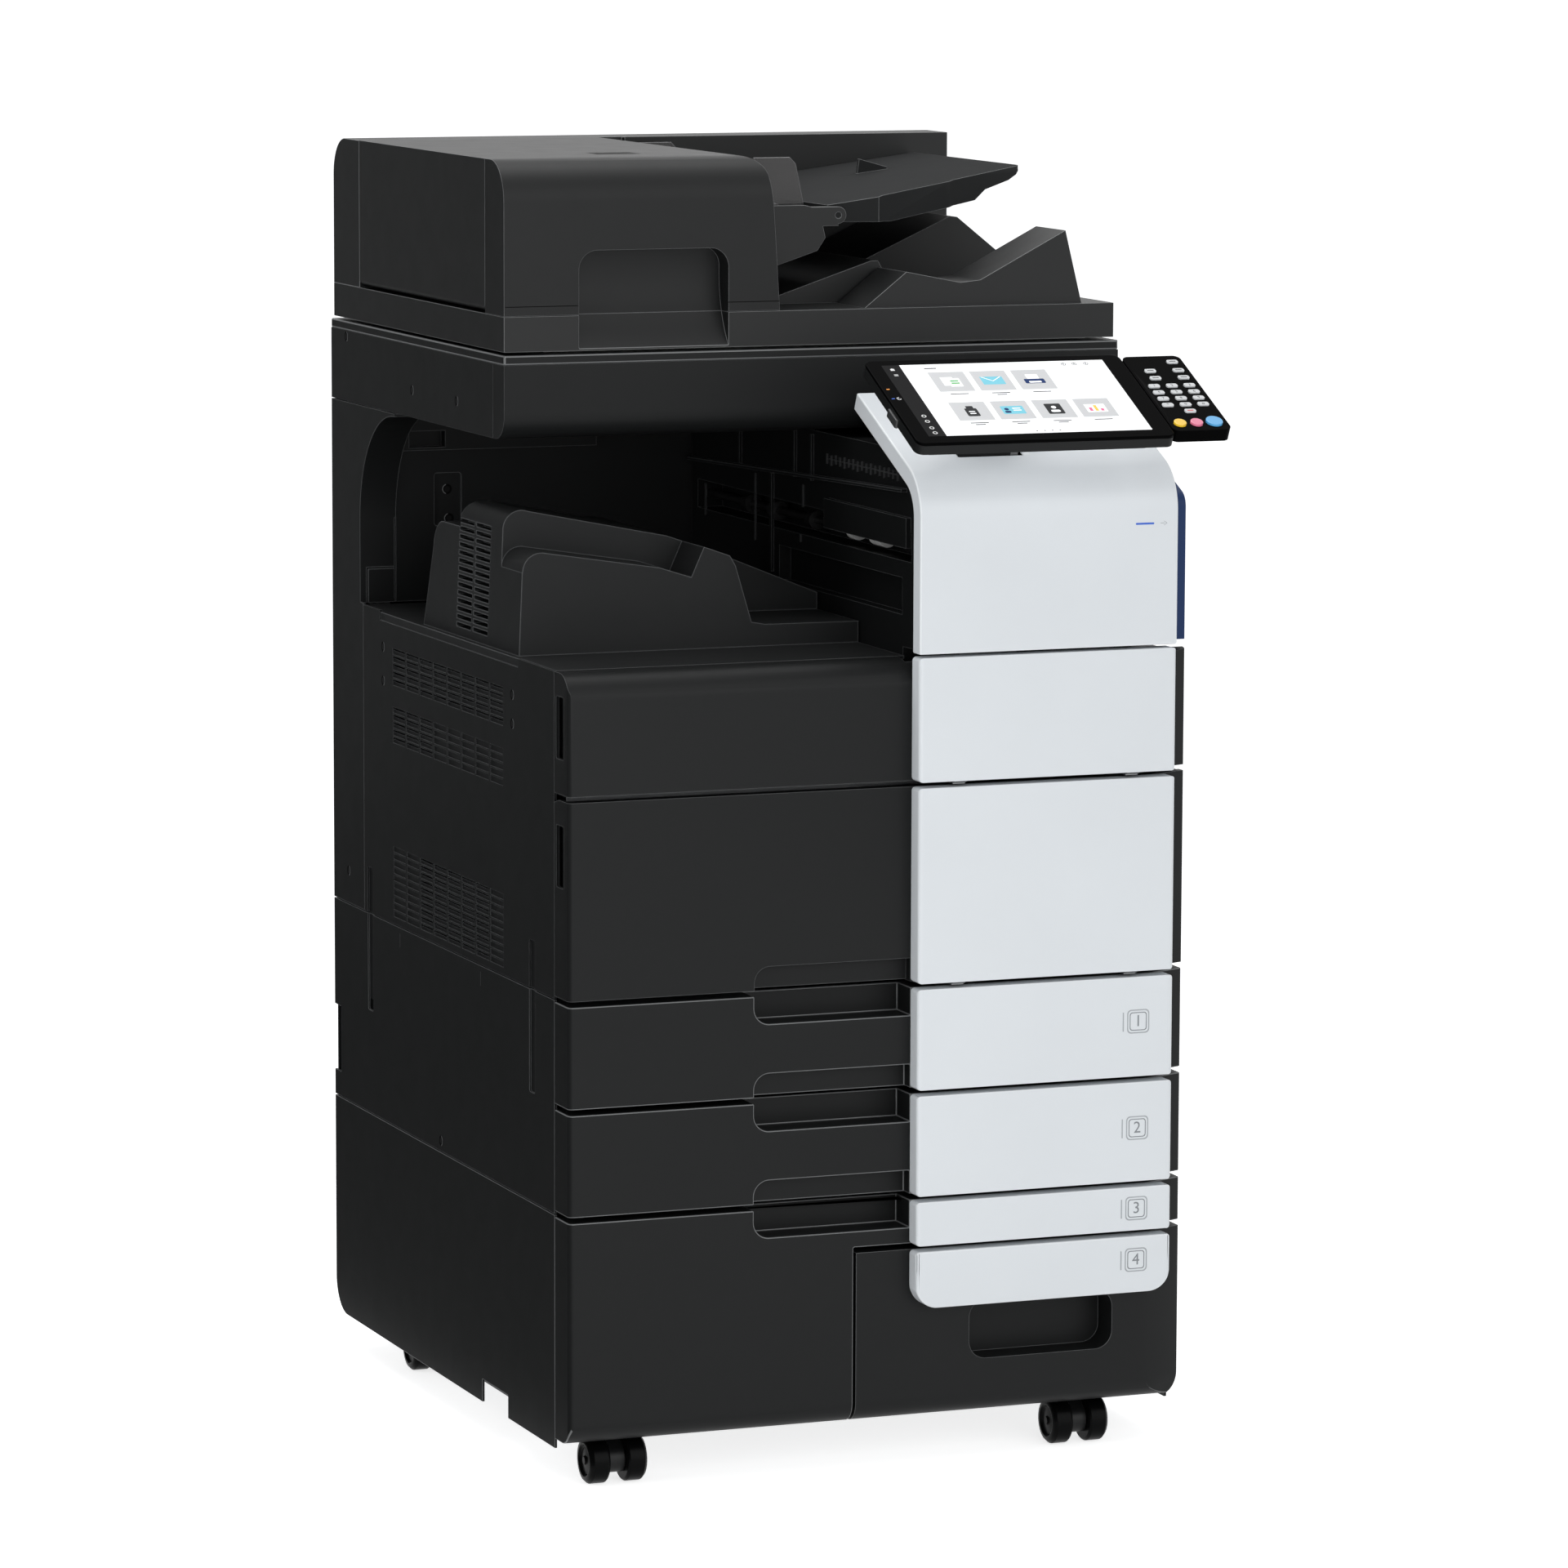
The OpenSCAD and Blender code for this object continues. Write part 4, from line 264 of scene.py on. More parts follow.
# Rounded edges: the same plastic, painted paler as a highlight, and smoother
HIGHLIT_EDGE_MATS = {
    "black_plastic": moulded("black_edge", HIGHLIGHT_GREY, 0.32, depth=0.05, vary=0.05, specular=0.5),
    "dark_plastic": moulded("dark_edge", (0.035, 0.036, 0.037), 0.34, depth=0.05, specular=0.4),
    "white_plastic": moulded("white_edge", (0.76, 0.785, 0.805), 0.3, depth=0.03, vary=0.02),
    "smoke_plastic": moulded("smoke_edge", (0.16, 0.16, 0.165), 0.2, depth=0.02, vary=0.05),
}
PALE_ROLLER = moulded("pale_roller", (0.50, 0.50, 0.49), 0.45, vary=0.05)
ROLLER_SHAFT = moulded("roller_shaft", (0.006, 0.006, 0.0063), 0.4, vary=0.05, specular=0.3)
TRIM = {
    "rim": moulded("trim_rim", (0.030, 0.031, 0.032), 0.34, depth=0.06),
    # Near black: dark joints on seams, and painted shade in slots and counterbores
    "groove": moulded("trim_groove", (0.002, 0.002, 0.002), 0.6, specular=0.05),
    "screw": moulded("trim_screw", (0.006, 0.006, 0.006), 0.45, grain=400.0, specular=0.1),
    "worn_rim": moulded("trim_painted_highlight_rim", HIGHLIGHT_GREY, 0.4, depth=0.06),
    "print_grey": moulded("trim_print_grey", (0.20, 0.215, 0.23), 0.45, depth=0.02),
    "print_pale": moulded("trim_print_pale", (0.36, 0.38, 0.40), 0.45, depth=0.02),
    "print_white": moulded("trim_print_white", (0.75, 0.75, 0.75), 0.45, depth=0.02),
    "print_dark": moulded("trim_print_dark", (0.03, 0.03, 0.032), 0.45, depth=0.02),
    "print_red": moulded("trim_print_red", (0.55, 0.03, 0.03), 0.45, depth=0.02),
    "screen": lit("screen_white", (0.80, 0.81, 0.82), 0.34),
    "tile": lit("screen_tile", (0.46, 0.465, 0.475), 0.22),
    "side": lit("screen_side", (0.009, 0.009, 0.0095), 0.05, specular=0.025),
    "ui_grey": lit("screen_grey", (0.05, 0.052, 0.055), 0.05, specular=0.08),
    "ui_dark": lit("screen_dark", (0.02, 0.021, 0.023), 0.05, specular=0.08),
    "ui_blue": lit("screen_blue", (0.14, 0.50, 0.62), 0.12),
    "ui_navy": lit("screen_navy", (0.008, 0.03, 0.12), 0.1, specular=0.08),
    "ui_green": lit("screen_green", (0.05, 0.40, 0.07), 0.1, specular=0.08),
    "ui_pink": lit("screen_pink", (0.70, 0.10, 0.25), 0.1),
    "ui_yellow": lit("screen_yellow", (0.80, 0.50, 0.05), 0.1),
    "led_blue": lit("led_blue", (0.02, 0.09, 0.45), 0.3),
    "led_orange": lit("led_orange", (0.80, 0.28, 0.03), 0.4),
}


# CAD nodes: material of their slot, and edges rounded as a mould leaves them, with a paler material on the
# rounding as a painted highlight

WELD_M = 1e-5
FLAT_DEG = 0.5
SHARP_DEG = 38
EDGE_SEGMENTS = 3
# Edge radii by material slot, and by node where a node differs
EDGE_MM = {
    "white_plastic": 1.8,
    "black_plastic": 1.0,
    "navy_plastic": 1.0,
    "gloss_black": 1.0,
    "dark_plastic": 0.8,
    "caster_plastic": 0.8,
    "smoke_plastic": 0.5,
    "key_silver": 0.5,
    "key_yellow": 0.8,
    "key_pink": 0.8,
    "key_blue": 0.8,
}
EDGE_NODE_MM = {
    "left_base_cover": 0.8,
    "left_lower_cover": 0.8,
    "left_upper_cover": 0.5,
    "rear_cover": 0.6,
    "scanner_body": 1.6,
    "scanner_top": 1.6,
    "feeder_base": 1.5,
    "feeder_front": 2.0,
    "feeder_rear": 2.0,
    "output_tray": 2.2,
    "column_cover": 3.5,
}
# Nodes with slots or pockets in a flat face, which keep their own triangles
SLOTTED = (
    "left_upper_cover",
    "rear_cover",
    "keypad_housing",
    "small_keys",
    "exit_unit",
    "output_tray",
    "tray_4",
    "upper_door",
    "lower_door",
)


def soften(obj, width, edge_mat, dissolve):
    """Joins the split corners of an imported solid and rounds its sharp edges, whose rounding gets a paler
    material as a painted highlight.
    """
    mesh = obj.data
    if "custom_normal" in mesh.attributes:
        mesh.attributes.remove(mesh.attributes["custom_normal"])
    mesh.polygons.foreach_set("use_smooth", [True] * len(mesh.polygons))
    weld = obj.modifiers.new("weld", "WELD")
    weld.merge_threshold = WELD_M
    if dissolve:
        flat = obj.modifiers.new("flat", "DECIMATE")
        flat.decimate_type = "DISSOLVE"
        flat.angle_limit = math.radians(FLAT_DEG)
    bevel = obj.modifiers.new("edges", "BEVEL")
    bevel.width = width * MM
    bevel.segments = EDGE_SEGMENTS
    bevel.limit_method = "ANGLE"
    bevel.angle_limit = math.radians(SHARP_DEG)
    bevel.use_clamp_overlap = True
    bevel.harden_normals = True
    bevel.miter_outer = "MITER_ARC"
    # The paler material on the rounding faces is a painted highlight
    if edge_mat:
        mesh.materials.append(edge_mat)
        bevel.material = len(mesh.materials) - 1


for part in frame["record"]["subparts"]:
    node = NODES[part["node"]]
    slot_name = part["material_slot"]
    node.data.materials.clear()
    node.data.materials.append(FINISH.get(part["node"], MATS[slot_name]))
    round_mm = EDGE_NODE_MM.get(part["node"], EDGE_MM.get(slot_name))
    if round_mm:
        soften(node, round_mm, HIGHLIT_EDGE_MATS.get(slot_name), part["node"] not in SLOTTED)


def paint_rollers(obj, axis_x, axis_z, shaft_r, pale_y):
    """Dark shaft and rollers, with the pale rollers near the sheets' middle."""
    mesh = obj.data
    mesh.materials.clear()
    mesh.materials.append(ROLLER_SHAFT)
    mesh.materials.append(PALE_ROLLER)
    for face in mesh.polygons:
        off = math.hypot(face.center.x - axis_x, face.center.z - axis_z)
        face.material_index = int(off > shaft_r and pale_y[0] < face.center.y < pale_y[1])


SHAFT_R = 5
PALE_Y = (100, 220)
shaft_low, shaft_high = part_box("exit_rollers")
shaft = (shaft_low + shaft_high) / 2
pale = [at(0, y, 0).y for y in PALE_Y]
paint_rollers(NODES["exit_rollers"], shaft.x, shaft.z, SHAFT_R * MM, pale)


def paint_neck(obj, back, foot, mat):
    """Paints the panel's neck, the frontmost and highest part of the chassis, like the panel."""
    mesh = obj.data
    mesh.materials.append(mat)
    for face in mesh.polygons:
        if face.center.y < back and face.center.z > foot:
            face.material_index = len(mesh.materials) - 1


NECK_BACK = 70
NECK_FOOT = 820
neck_at = at(0, NECK_BACK, NECK_FOOT)
paint_neck(NODES["chassis"], neck_at.y, neck_at.z, MATS["dark_plastic"])


# Flat pieces on a surface: outlines in that surface's own plane


def plane(origin, u, v, w):
    """Matrix from plane millimetres (u, v, w) to the frame."""
    m = Matrix.Identity(4)
    for col, axis in enumerate((u, v, w)):
        m.col[col][:3] = Vector(axis) * MM
    m.col[3][:3] = origin
    return m


def front_plane(y):
    return plane(at(0, y, 0), (1, 0, 0), (0, 0, 1), (0, -1, 0))


def left_plane(x):
    return plane(at(x, 0, 0), (0, 1, 0), (0, 0, 1), (-1, 0, 0))


press_axis = next(j["axis"] for j in frame["joints"] if j["name"] == "start_key_press")
FACE = -Vector(press_axis).normalized()
SLOPE = Vector((0, FACE.z, -FACE.y))
GLASS_MM = 3.0
glass_low, glass_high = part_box("panel_glass")
panel_at = Vector((glass_low.x, glass_high.y + GLASS_MM * MM * FACE.y, glass_high.z))
PANEL = plane(panel_at, (1, 0, 0), SLOPE, FACE)
PANEL_W = (glass_high.x - glass_low.x) / MM


def rounded(u0, v0, u1, v1, r, steps=5):
    """Outline of a rectangle with round corners."""
    corners = (
        (u1 - r, v1 - r, 0),
        (u0 + r, v1 - r, 90),
        (u0 + r, v0 + r, 180),
        (u1 - r, v0 + r, 270),
    )
    points = []
    for cu, cv, start in corners:
        for i in range(steps + 1):
            a = math.radians(start + 90 * i / steps)
            points.append((cu + r * math.cos(a), cv + r * math.sin(a)))
    return points


def disc(u, v, r, steps=24):
    angles = [2 * math.pi * i / steps for i in range(steps)]
    return [(u + r * math.cos(a), v + r * math.sin(a)) for a in angles]


def ring_strip(outer, inner):
    """Frame between two outlines with the same number of points, as quads."""
    n = len(outer)
    return [[outer[i], outer[(i + 1) % n], inner[(i + 1) % n], inner[i]] for i in range(n)]


def mesh_object(name, bm, mat):
    mesh = bpy.data.meshes.new(name)
    bm.to_mesh(mesh)
    bm.free()
    mesh.materials.append(mat)
    obj = bpy.data.objects.new(name, mesh)
    bpy.context.scene.collection.objects.link(obj)
    return obj


def piece(name, bm, mat, body):
    """Makes one object from a bmesh, with that material, riding on that body."""
    bmesh.ops.recalc_face_normals(bm, faces=bm.faces)
    obj = mesh_object(name, bm, mat)
    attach(obj, body)
    return obj


def slabs(name, outlines, where, w0, w1, mat, body):
    """Slabs of those outlines between depths w0 and w1 of a plane, as one piece."""
    bm = bmesh.new()
    for outline in outlines:
        low = [bm.verts.new(where @ Vector((u, v, w0))) for u, v in outline]
        high = [bm.verts.new(where @ Vector((u, v, w1))) for u, v in outline]
        bm.faces.new(low)
        bm.faces.new(high)
        n = len(outline)
        for i in range(n):
            bm.faces.new((low[i], low[(i + 1) % n], high[(i + 1) % n], high[i]))
    return piece(name, bm, mat, body)


FONT_PER_HEIGHT = 1.4
DIGIT_EXTRUDE = 0.04


def digits(name, marks, where, w, mat, body):
    """Plain numerals as thin raised print: marks are (text, u, v, height)."""
    bm = bmesh.new()
    for text, u, v, height in marks:
        curve = bpy.data.curves.new(name, "FONT")
        curve.body = text
        curve.size = height * FONT_PER_HEIGHT
        curve.align_x = "CENTER"
        curve.align_y = "CENTER"
        curve.extrude = DIGIT_EXTRUDE
        curve.resolution_u = 4
        obj = bpy.data.objects.new(name, curve)
        bpy.context.scene.collection.objects.link(obj)
        mesh = bpy.data.meshes.new_from_object(obj.evaluated_get(bpy.context.evaluated_depsgraph_get()))
        mesh.transform(where @ Matrix.Translation((u, v, w)))
        bm.from_mesh(mesh)
        bpy.data.objects.remove(obj)
        bpy.data.curves.remove(curve)
        bpy.data.meshes.remove(mesh)
    return piece(name, bm, mat, body)


# Touch screen: white page with grey tiles and plain signs, and a dark bar at its left

SCREEN_U = (32.0, 234.5)
SCREEN_V = (-136.0, -9.0)
BAR_U0 = 14.5
LIFT = 0.06
LIFT_GAP = 0.01


def screen_layer(name, outlines, level, key):
    """Print on the screen, with each level over the one below."""
    low = LIFT * (level - 1) + LIFT_GAP
    slabs(name, outlines, PANEL, low, LIFT * level, TRIM[key], "control_panel")


page = rounded(SCREEN_U[0], SCREEN_V[0], SCREEN_U[1], SCREEN_V[1], 0.5)
screen_layer("screen_page", [page], 1, "screen")
side_bar = rounded(BAR_U0, SCREEN_V[0], SCREEN_U[0], SCREEN_V[1], 0.5)
screen_layer("screen_bar", [side_bar], 1, "side")

TILE_W = 35.0
TILE_PITCH = 40.8
TILE_U0 = 54.5
TILE_ROWS = ((-58.5, -23.5, 3), (-110.5, -78.0, 4))
tiles = []
for v0, v1, count in TILE_ROWS:
    for i in range(count):
        u0 = TILE_U0 + i * TILE_PITCH
        tiles.append((u0, v0, u0 + TILE_W, v1))
screen_layer("screen_tiles", [rounded(*tile, 1.0) for tile in tiles], 2, "tile")


def middle(tile):
    return (tile[0] + tile[2]) / 2, (tile[1] + tile[3]) / 2


def box_at(u, v, du0, dv0, du1, dv1, r=0.5):
    return rounded(u + du0, v + dv0, u + du1, v + dv1, r, 3)


def outline_at(u, v, corners):
    return [(u + du, v + dv) for du, dv in corners]


def sign(name, tile, level, key, boxes=(), discs=(), outlines=()):
    """One colour of a tile's sign: discs, boxes and outlines about the tile's middle."""
    u, v = middle(tiles[tile])
    shapes = [disc(u + du, v + dv, r) for du, dv, r in discs]
    shapes += [box_at(u, v, *box) for box in boxes]
    shapes += [outline_at(u, v, corners) for corners in outlines]
    screen_layer(name, shapes, level, key)


# Signs on the tiles: two sheets, an envelope, a printer, a memory stick, a card, a book and a chart
sign("sign_sheets", 0, 3, "screen", [(-9, -7, 3, 8), (-3, -9, 9, 6)])
sign("sign_green", 0, 4, "ui_green", [(-1, -4, 7, -2), (-1, 0, 7, 2)])
sign("sign_envelope", 1, 3, "ui_blue", [(-11, -7, 11, 7)])
flap = [(-10, 6.5), (0, -1.5), (10, 6.5), (8.6, 6.5), (0, -0.4), (-8.6, 6.5)]
sign("sign_flap", 1, 4, "screen", outlines=[flap])
sign("sign_printer", 2, 3, "ui_navy", [(-10, -7, 10, 1, 1.2)])
sign("sign_printer_sheet", 2, 4, "screen", [(-6, 1, 6, 9), (-6, -6, 6, -3)])
sign("sign_stick", 3, 3, "ui_dark", [(-6, -9, 6, 5, 1.5), (-3.5, 5, 3.5, 9)])
sign("sign_stick_bar", 3, 4, "screen", [(-3, -5, 3, -3.5), (-3, -1.5, 3, 0)])
sign("sign_card", 4, 3, "ui_blue", [(-11, -7, 11, 7, 1.2)])
sign("sign_card_lines", 4, 4, "screen", [(0, 2, 8, 3.6), (0, -1.5, 8, 0)])
sign("sign_card_mark", 4, 4, "ui_navy", [(-9, -5, -3, -1.5, 1.2)], discs=[(-6, 1.5, 2.2)])
sign("sign_book", 5, 3, "ui_dark", [(-8, -9, 8, 9, 1.2)])
sign("sign_book_page", 5, 4, "screen", [(-4.5, -6, 4.5, -2, 1.5)], discs=[(0, 2.5, 2.4)])
sign("sign_chart", 6, 3, "screen", [(-10, -8, 10, 6)])
sign("sign_chart_pink", 6, 4, "ui_pink", [(-7, -6, -4, 0, 0.3), (4, -6, 7, -2, 0.3)])
sign("sign_chart_yellow", 6, 4, "ui_yellow", [(-1.5, -6, 1.5, 4, 0.3)])

# Label bars: one line under each tile, a second line under some, and a heading
LABEL_R = 0.5
TWO_LINES = (1, 3, 4, 5)


def label(tile, half, low, high):
    u = middle(tile)[0]
    return rounded(u - half, tile[1] + low, u + half, tile[1] + high, LABEL_R, 3)


labels = [label(tile, 9, -5.2, -3.9) for tile in tiles]
labels += [label(tiles[i], 5, -8.2, -6.9) for i in TWO_LINES]
labels.append(rounded(SCREEN_U[0] + 22, -17.2, SCREEN_U[0] + 34, -15.6, LABEL_R, 3))
screen_layer("screen_labels", labels, 2, "ui_grey")

DOT_U0 = SCREEN_U[0] + 90
DOT_PITCH = 7.6
dots = [disc(DOT_U0 + DOT_PITCH * i, -132, 0.8, 12) for i in range(4)]
screen_layer("screen_dots", dots, 2, "ui_grey")

CORNER_SIGN_U = (193.2, 204.0, 215.6)
CORNER_SIGN_V = -15.2
corner_signs = []
for u in CORNER_SIGN_U:
    corner_signs += ring_strip(disc(u, CORNER_SIGN_V, 2.4, 16), disc(u, CORNER_SIGN_V, 1.8, 16))
    corner_signs.append(rounded(u - 0.4, -16.2, u + 0.4, -13.6, 0.2, 2))
screen_layer("screen_signs", corner_signs, 2, "ui_grey")

BAR_RING_U = 22.9
BAR_RING_V = (-100.4, -109.7, -121.3, -130.0)
house = [(-2, -1.6), (2, -1.6), (2, 1.2), (0, 2.4), (-2, 1.2)]
bar_signs = [outline_at(22.7, -17, house)]
for low, high in ((-28.2, -27.3), (-26.4, -25.5)):
    bar_signs.append(rounded(20.8, low, 24.8, high, 0.3, 2))
for v in BAR_RING_V:
    bar_signs += ring_strip(disc(BAR_RING_U, v, 2.3, 16), disc(BAR_RING_U, v, 1.5, 16))
screen_layer("bar_signs", bar_signs, 2, "print_white")

# Lamps and the power sign on the glossy margin

MARGIN_LAMPS = {
    "orange": rounded(4.2, -52.0, 7.4, -50.8, 0.5),
    "blue": rounded(3.2, -68.8, 6.4, -67.6, 0.5),
}
for colour, lamp in MARGIN_LAMPS.items():
    slabs("lamp_" + colour, [lamp], PANEL, LIFT_GAP, 0.1, TRIM["led_" + colour], "control_panel")
POWER_U = 10.4
POWER_V = -68.2
POWER_GAP = 7
power = ring_strip(disc(POWER_U, POWER_V, 2.2, 20), disc(POWER_U, POWER_V, 1.6, 20))[POWER_GAP:]
power.append(rounded(10.1, -68.4, 10.7, -65.6, 0.2, 2))
slabs("power_sign", power, PANEL, LIFT_GAP, 0.08, TRIM["print_white"], "control_panel")

# Key legends

KEYPAD_U = PANEL_W + 0.8
KEYPAD_V = -5.0
KEY_U = [KEYPAD_U + u for u in (11.9, 29.7, 47.4)]
KEY_V = [KEYPAD_V + v for v in (-55, -66.5, -77.8, -89.2)]
LEFT_KEY_U = KEYPAD_U + 19
KEY_TOP = 1.0
KEY_PRINT = 0.06
KEY_TEXT = "123456789*0#"
KEY_TEXT_H = 3.4
BAR_KEYS = (
    (KEY_U[2], -12),
    (LEFT_KEY_U, -27.5),
    (KEY_U[2], -27.5),
    (LEFT_KEY_U, -40.7),
    (KEY_U[2], -40.7),
)
marks = [(text, KEY_U[i % 3], KEY_V[i // 3], KEY_TEXT_H) for i, text in enumerate(KEY_TEXT)]
digits("key_digits", marks, PANEL, KEY_TOP + KEY_PRINT / 2, TRIM["print_dark"], "small_keys")
key_bars = []
for u, v in BAR_KEYS:
    key_bars.append(rounded(u - 3.2, v + KEYPAD_V - 0.6, u + 3.2, v + KEYPAD_V + 0.6, 0.4, 3))
slabs("key_bars", key_bars, PANEL, KEY_TOP, KEY_TOP + KEY_PRINT, TRIM["print_dark"], "small_keys")
clear_bar = rounded(KEY_U[1] - 3, KEYPAD_V - 101.5, KEY_U[1] + 3, KEYPAD_V - 100.1, 0.5, 3)
slabs("clear_key_bar", [clear_bar], PANEL, KEY_TOP, KEY_TOP + KEY_PRINT, TRIM["print_red"], "small_keys")

# Drawer numbers, level bars and the lamp on the white column

WHITE = front_plane(edge("tray_1_panel", 1, 0))
PRINT_MM = 0.12
SIGN_X = 556.0
SIGN_H = 22.5
SIGN_R = 4
SIGN_Z = {"tray_1": 364.3, "tray_2": 263.5, "tray_3": 187.2, "tray_4": 138.2}
SIGN_LINES = (("outer", 0.0, 1.1, "print_pale"), ("inner", -2.6, 0.8, "print_grey"))
NUMBER_H = 11.0


def square(u, v, half, r):
    return rounded(u - half, v - half, u + half, v + half, r)


for number, (tray, z) in enumerate(SIGN_Z.items(), 1):
    for tag, grow, line, key in SIGN_LINES:
        half = SIGN_H / 2 + grow
        r = SIGN_R + grow / 2
        outer = square(SIGN_X, z, half, r)
        inner = square(SIGN_X, z, half - line, r - line / 2)
        slabs(f"{tray}_sign_{tag}", ring_strip(outer, inner), WHITE, 0.0, PRINT_MM, TRIM[key], tray)
    level = rounded(SIGN_X - 15.8, z - 9, SIGN_X - 14.6, z + 9, 0.3, 2)
    slabs(f"{tray}_level", [level], WHITE, 0.0, PRINT_MM, TRIM["print_pale"], tray)
    mark = (str(number), SIGN_X, z, NUMBER_H)
    digits(f"{tray}_number", [mark], WHITE, PRINT_MM / 2, TRIM["print_grey"], tray)

LAMP_Z = 829.5
LAMP_MM = 0.15
status_lamp = rounded(548.5, LAMP_Z - 0.9, 567, LAMP_Z + 0.9, 0.8)
slabs("status_lamp", [status_lamp], WHITE, 0.0, LAMP_MM, TRIM["led_blue"], "machine")
arrow_line = rounded(573.5, LAMP_Z - 0.3, 577.5, LAMP_Z + 0.3, 0.2, 2)
arrow_tip = [(577, -2.2), (580.4, 0), (577, 2.2), (577, 1.6), (579.4, 0), (577, -1.6)]
arrow = [arrow_line, outline_at(0, LAMP_Z, arrow_tip)]
slabs("status_sign", arrow, WHITE, 0.0, PRINT_MM, TRIM["print_pale"], "machine")

# Screws in the left covers, the scanner and the bay's rear wall

SCREW_R = 5.0
SCREW_STEP = 0.03
HEAD_SHARE = 0.6
RIM_SHARE = 0.82
# Points of each rim that carry the painted highlight, on its front side
RIM_ARC = slice(7, 17)
RECESS_MM = 3
COVER_SCREWS = [(535, 676), (535, 643), (154.5, 674), (154.5, 647), (647, 441), (364, 220)]
SCANNER_SCREWS = [(646, 969), (443, 932), (311, 932)]
WALL_SCREWS = [(90.8, 819.8), (92.7, 791.0)]


def screw_ring(name, spots, where, body):
    """Counterbores as flat dark discs of painted shade, a screw in each, and a painted highlight on the rim of
    their front side.
    """
    holes = [disc(u, v, SCREW_R) for u, v in spots]
    heads = [disc(u, v, SCREW_R * HEAD_SHARE, 16) for u, v in spots]
    rims = []
    for u, v in spots:
        rims += ring_strip(disc(u, v, SCREW_R), disc(u, v, SCREW_R * RIM_SHARE))[RIM_ARC]
    # The dark discs are painted shade of the counterbores, and the pale arcs are painted highlights
    slabs(name + "_holes", holes, where, 0.0, SCREW_STEP, TRIM["groove"], body)
    slabs(name + "_heads", heads, where, SCREW_STEP, 2 * SCREW_STEP, TRIM["screw"], body)
    slabs(name + "_rims", rims, where, SCREW_STEP, 2 * SCREW_STEP, TRIM["worn_rim"], body)


LEFT = left_plane(0)
WALL_RECESS = front_plane(edge("output_tray", 1, 1) + RECESS_MM)
screw_ring("cover_screws", COVER_SCREWS, LEFT, "machine")
screw_ring("scanner_screws", SCANNER_SCREWS, LEFT, "machine")
screw_ring("wall_screws", WALL_SCREWS, WALL_RECESS, "machine")

# Ticks on the left cover, and the slot at the foot of its channel as a dark slab of painted shade

TICK_Y = (246.0, 486.0)
CHANNEL = left_plane(1.7)
ticks = [rounded(y - 0.6, 388.5, y + 0.6, 402.0, 0.4, 2) for y in TICK_Y]
slabs("cover_ticks", ticks, LEFT, 0.0, 0.03, TRIM["rim"], "machine")
channel_slot = rounded(570.8, 312.8, 585.2, 323.0, 1.0)
slabs("channel_slot", [channel_slot], CHANNEL, 0.0, 0.05, TRIM["groove"], "machine")

# Comb and clips of the exit unit, and a painted highlight along its guide's edge

EXIT_FACE = edge("exit_unit", 0, 0)
EXIT_STEP = 6
EXIT = left_plane(EXIT_FACE + EXIT_STEP)
GUIDE = left_plane(EXIT_FACE)
TOOTH_Y0 = 62
TOOTH_PITCH = 11
TOOTH_W = 1.4
CLIPS = ((300, 822, 22), (306, 788, 8), (426, 778, 66), (562, 790, 32))
teeth = []
for i in range(17):
    y = TOOTH_Y0 + TOOTH_PITCH * i
    teeth.append(rounded(y, 868 + i % 3, y + TOOTH_W, 879 - i % 2, 0.5, 2))
slabs("exit_comb", teeth, EXIT, -0.5, 1.6, TRIM["rim"], "machine")
comb_bar = rounded(60, 873.4, 241, 874.6, 0.5, 2)
slabs("exit_comb_bar", [comb_bar], EXIT, -0.5, 1.0, TRIM["rim"], "machine")
# A paler line painted along the guide's edge as its highlight
guide_highlight = [(43, 861.8), (599, 843.8), (599, 844.8), (43, 862.8)]
slabs("exit_guide_highlight", [guide_highlight], GUIDE, 0.0, 0.1, TRIM["rim"], "machine")
clips = [rounded(y, z, y + 3, z + height, 1, 3) for y, z, height in CLIPS]
slabs("exit_clips", clips, EXIT, -0.5, 1.0, TRIM["rim"], "machine")

# Dial on the panel's rim

DIAL_EDGE_MM = 1.2
dial_outline = rounded(-2.4, -98.0, 2.0, -75.0, 2.1, 8)
dial = slabs("panel_dial", [dial_outline], PANEL, -14.0, -5.5, TRIM["rim"], "control_panel")
dial_edge = dial.modifiers.new("edges", "BEVEL")
dial_edge.width = DIAL_EDGE_MM * MM
dial_edge.segments = EDGE_SEGMENTS

# Slots as dark slabs of painted shade, seams and grip of the feeder

TRAY_SLOPE = math.radians(7.5)
TRAY_RISE_MM = 10
TRAY_SLOTS = ((100, 118), (150, 160))
LID_SEAMS = ((1, 72), (219.5, 270.5))
GRIP_PITCH = 9
tray_hinge = next(j["pos_m"] for j in frame["joints"] if j["name"] == "document_tray_lift")
slope_u = Vector((math.cos(TRAY_SLOPE), 0, math.sin(TRAY_SLOPE)))
slope_n = Vector((-math.sin(TRAY_SLOPE), 0, math.cos(TRAY_SLOPE)))
tray_at = Vector((tray_hinge[0], ORIGIN.y, tray_hinge[2])) + TRAY_RISE_MM * MM * slope_n
TRAY_TOP = plane(tray_at, slope_u, (0, 1, 0), slope_n)
tray_slots = [rounded(u0, 472.5, u1, 477.5, 1, 3) for u0, u1 in TRAY_SLOTS]
slabs("tray_slot", tray_slots, TRAY_TOP, -0.2, 0.05, TRIM["groove"], "document_tray")
LID_FRONT = front_plane(edge("feeder_base", 1, 0))
lid_seam = [rounded(x0, 1028.1, x1, 1028.9, 0.3, 2) for x0, x1 in LID_SEAMS]
slabs("lid_seam", lid_seam, LID_FRONT, 0.0, 0.04, TRIM["groove"], "feeder_lid")
REAR_WALL = front_plane(edge("feeder_rear", 1, 0))
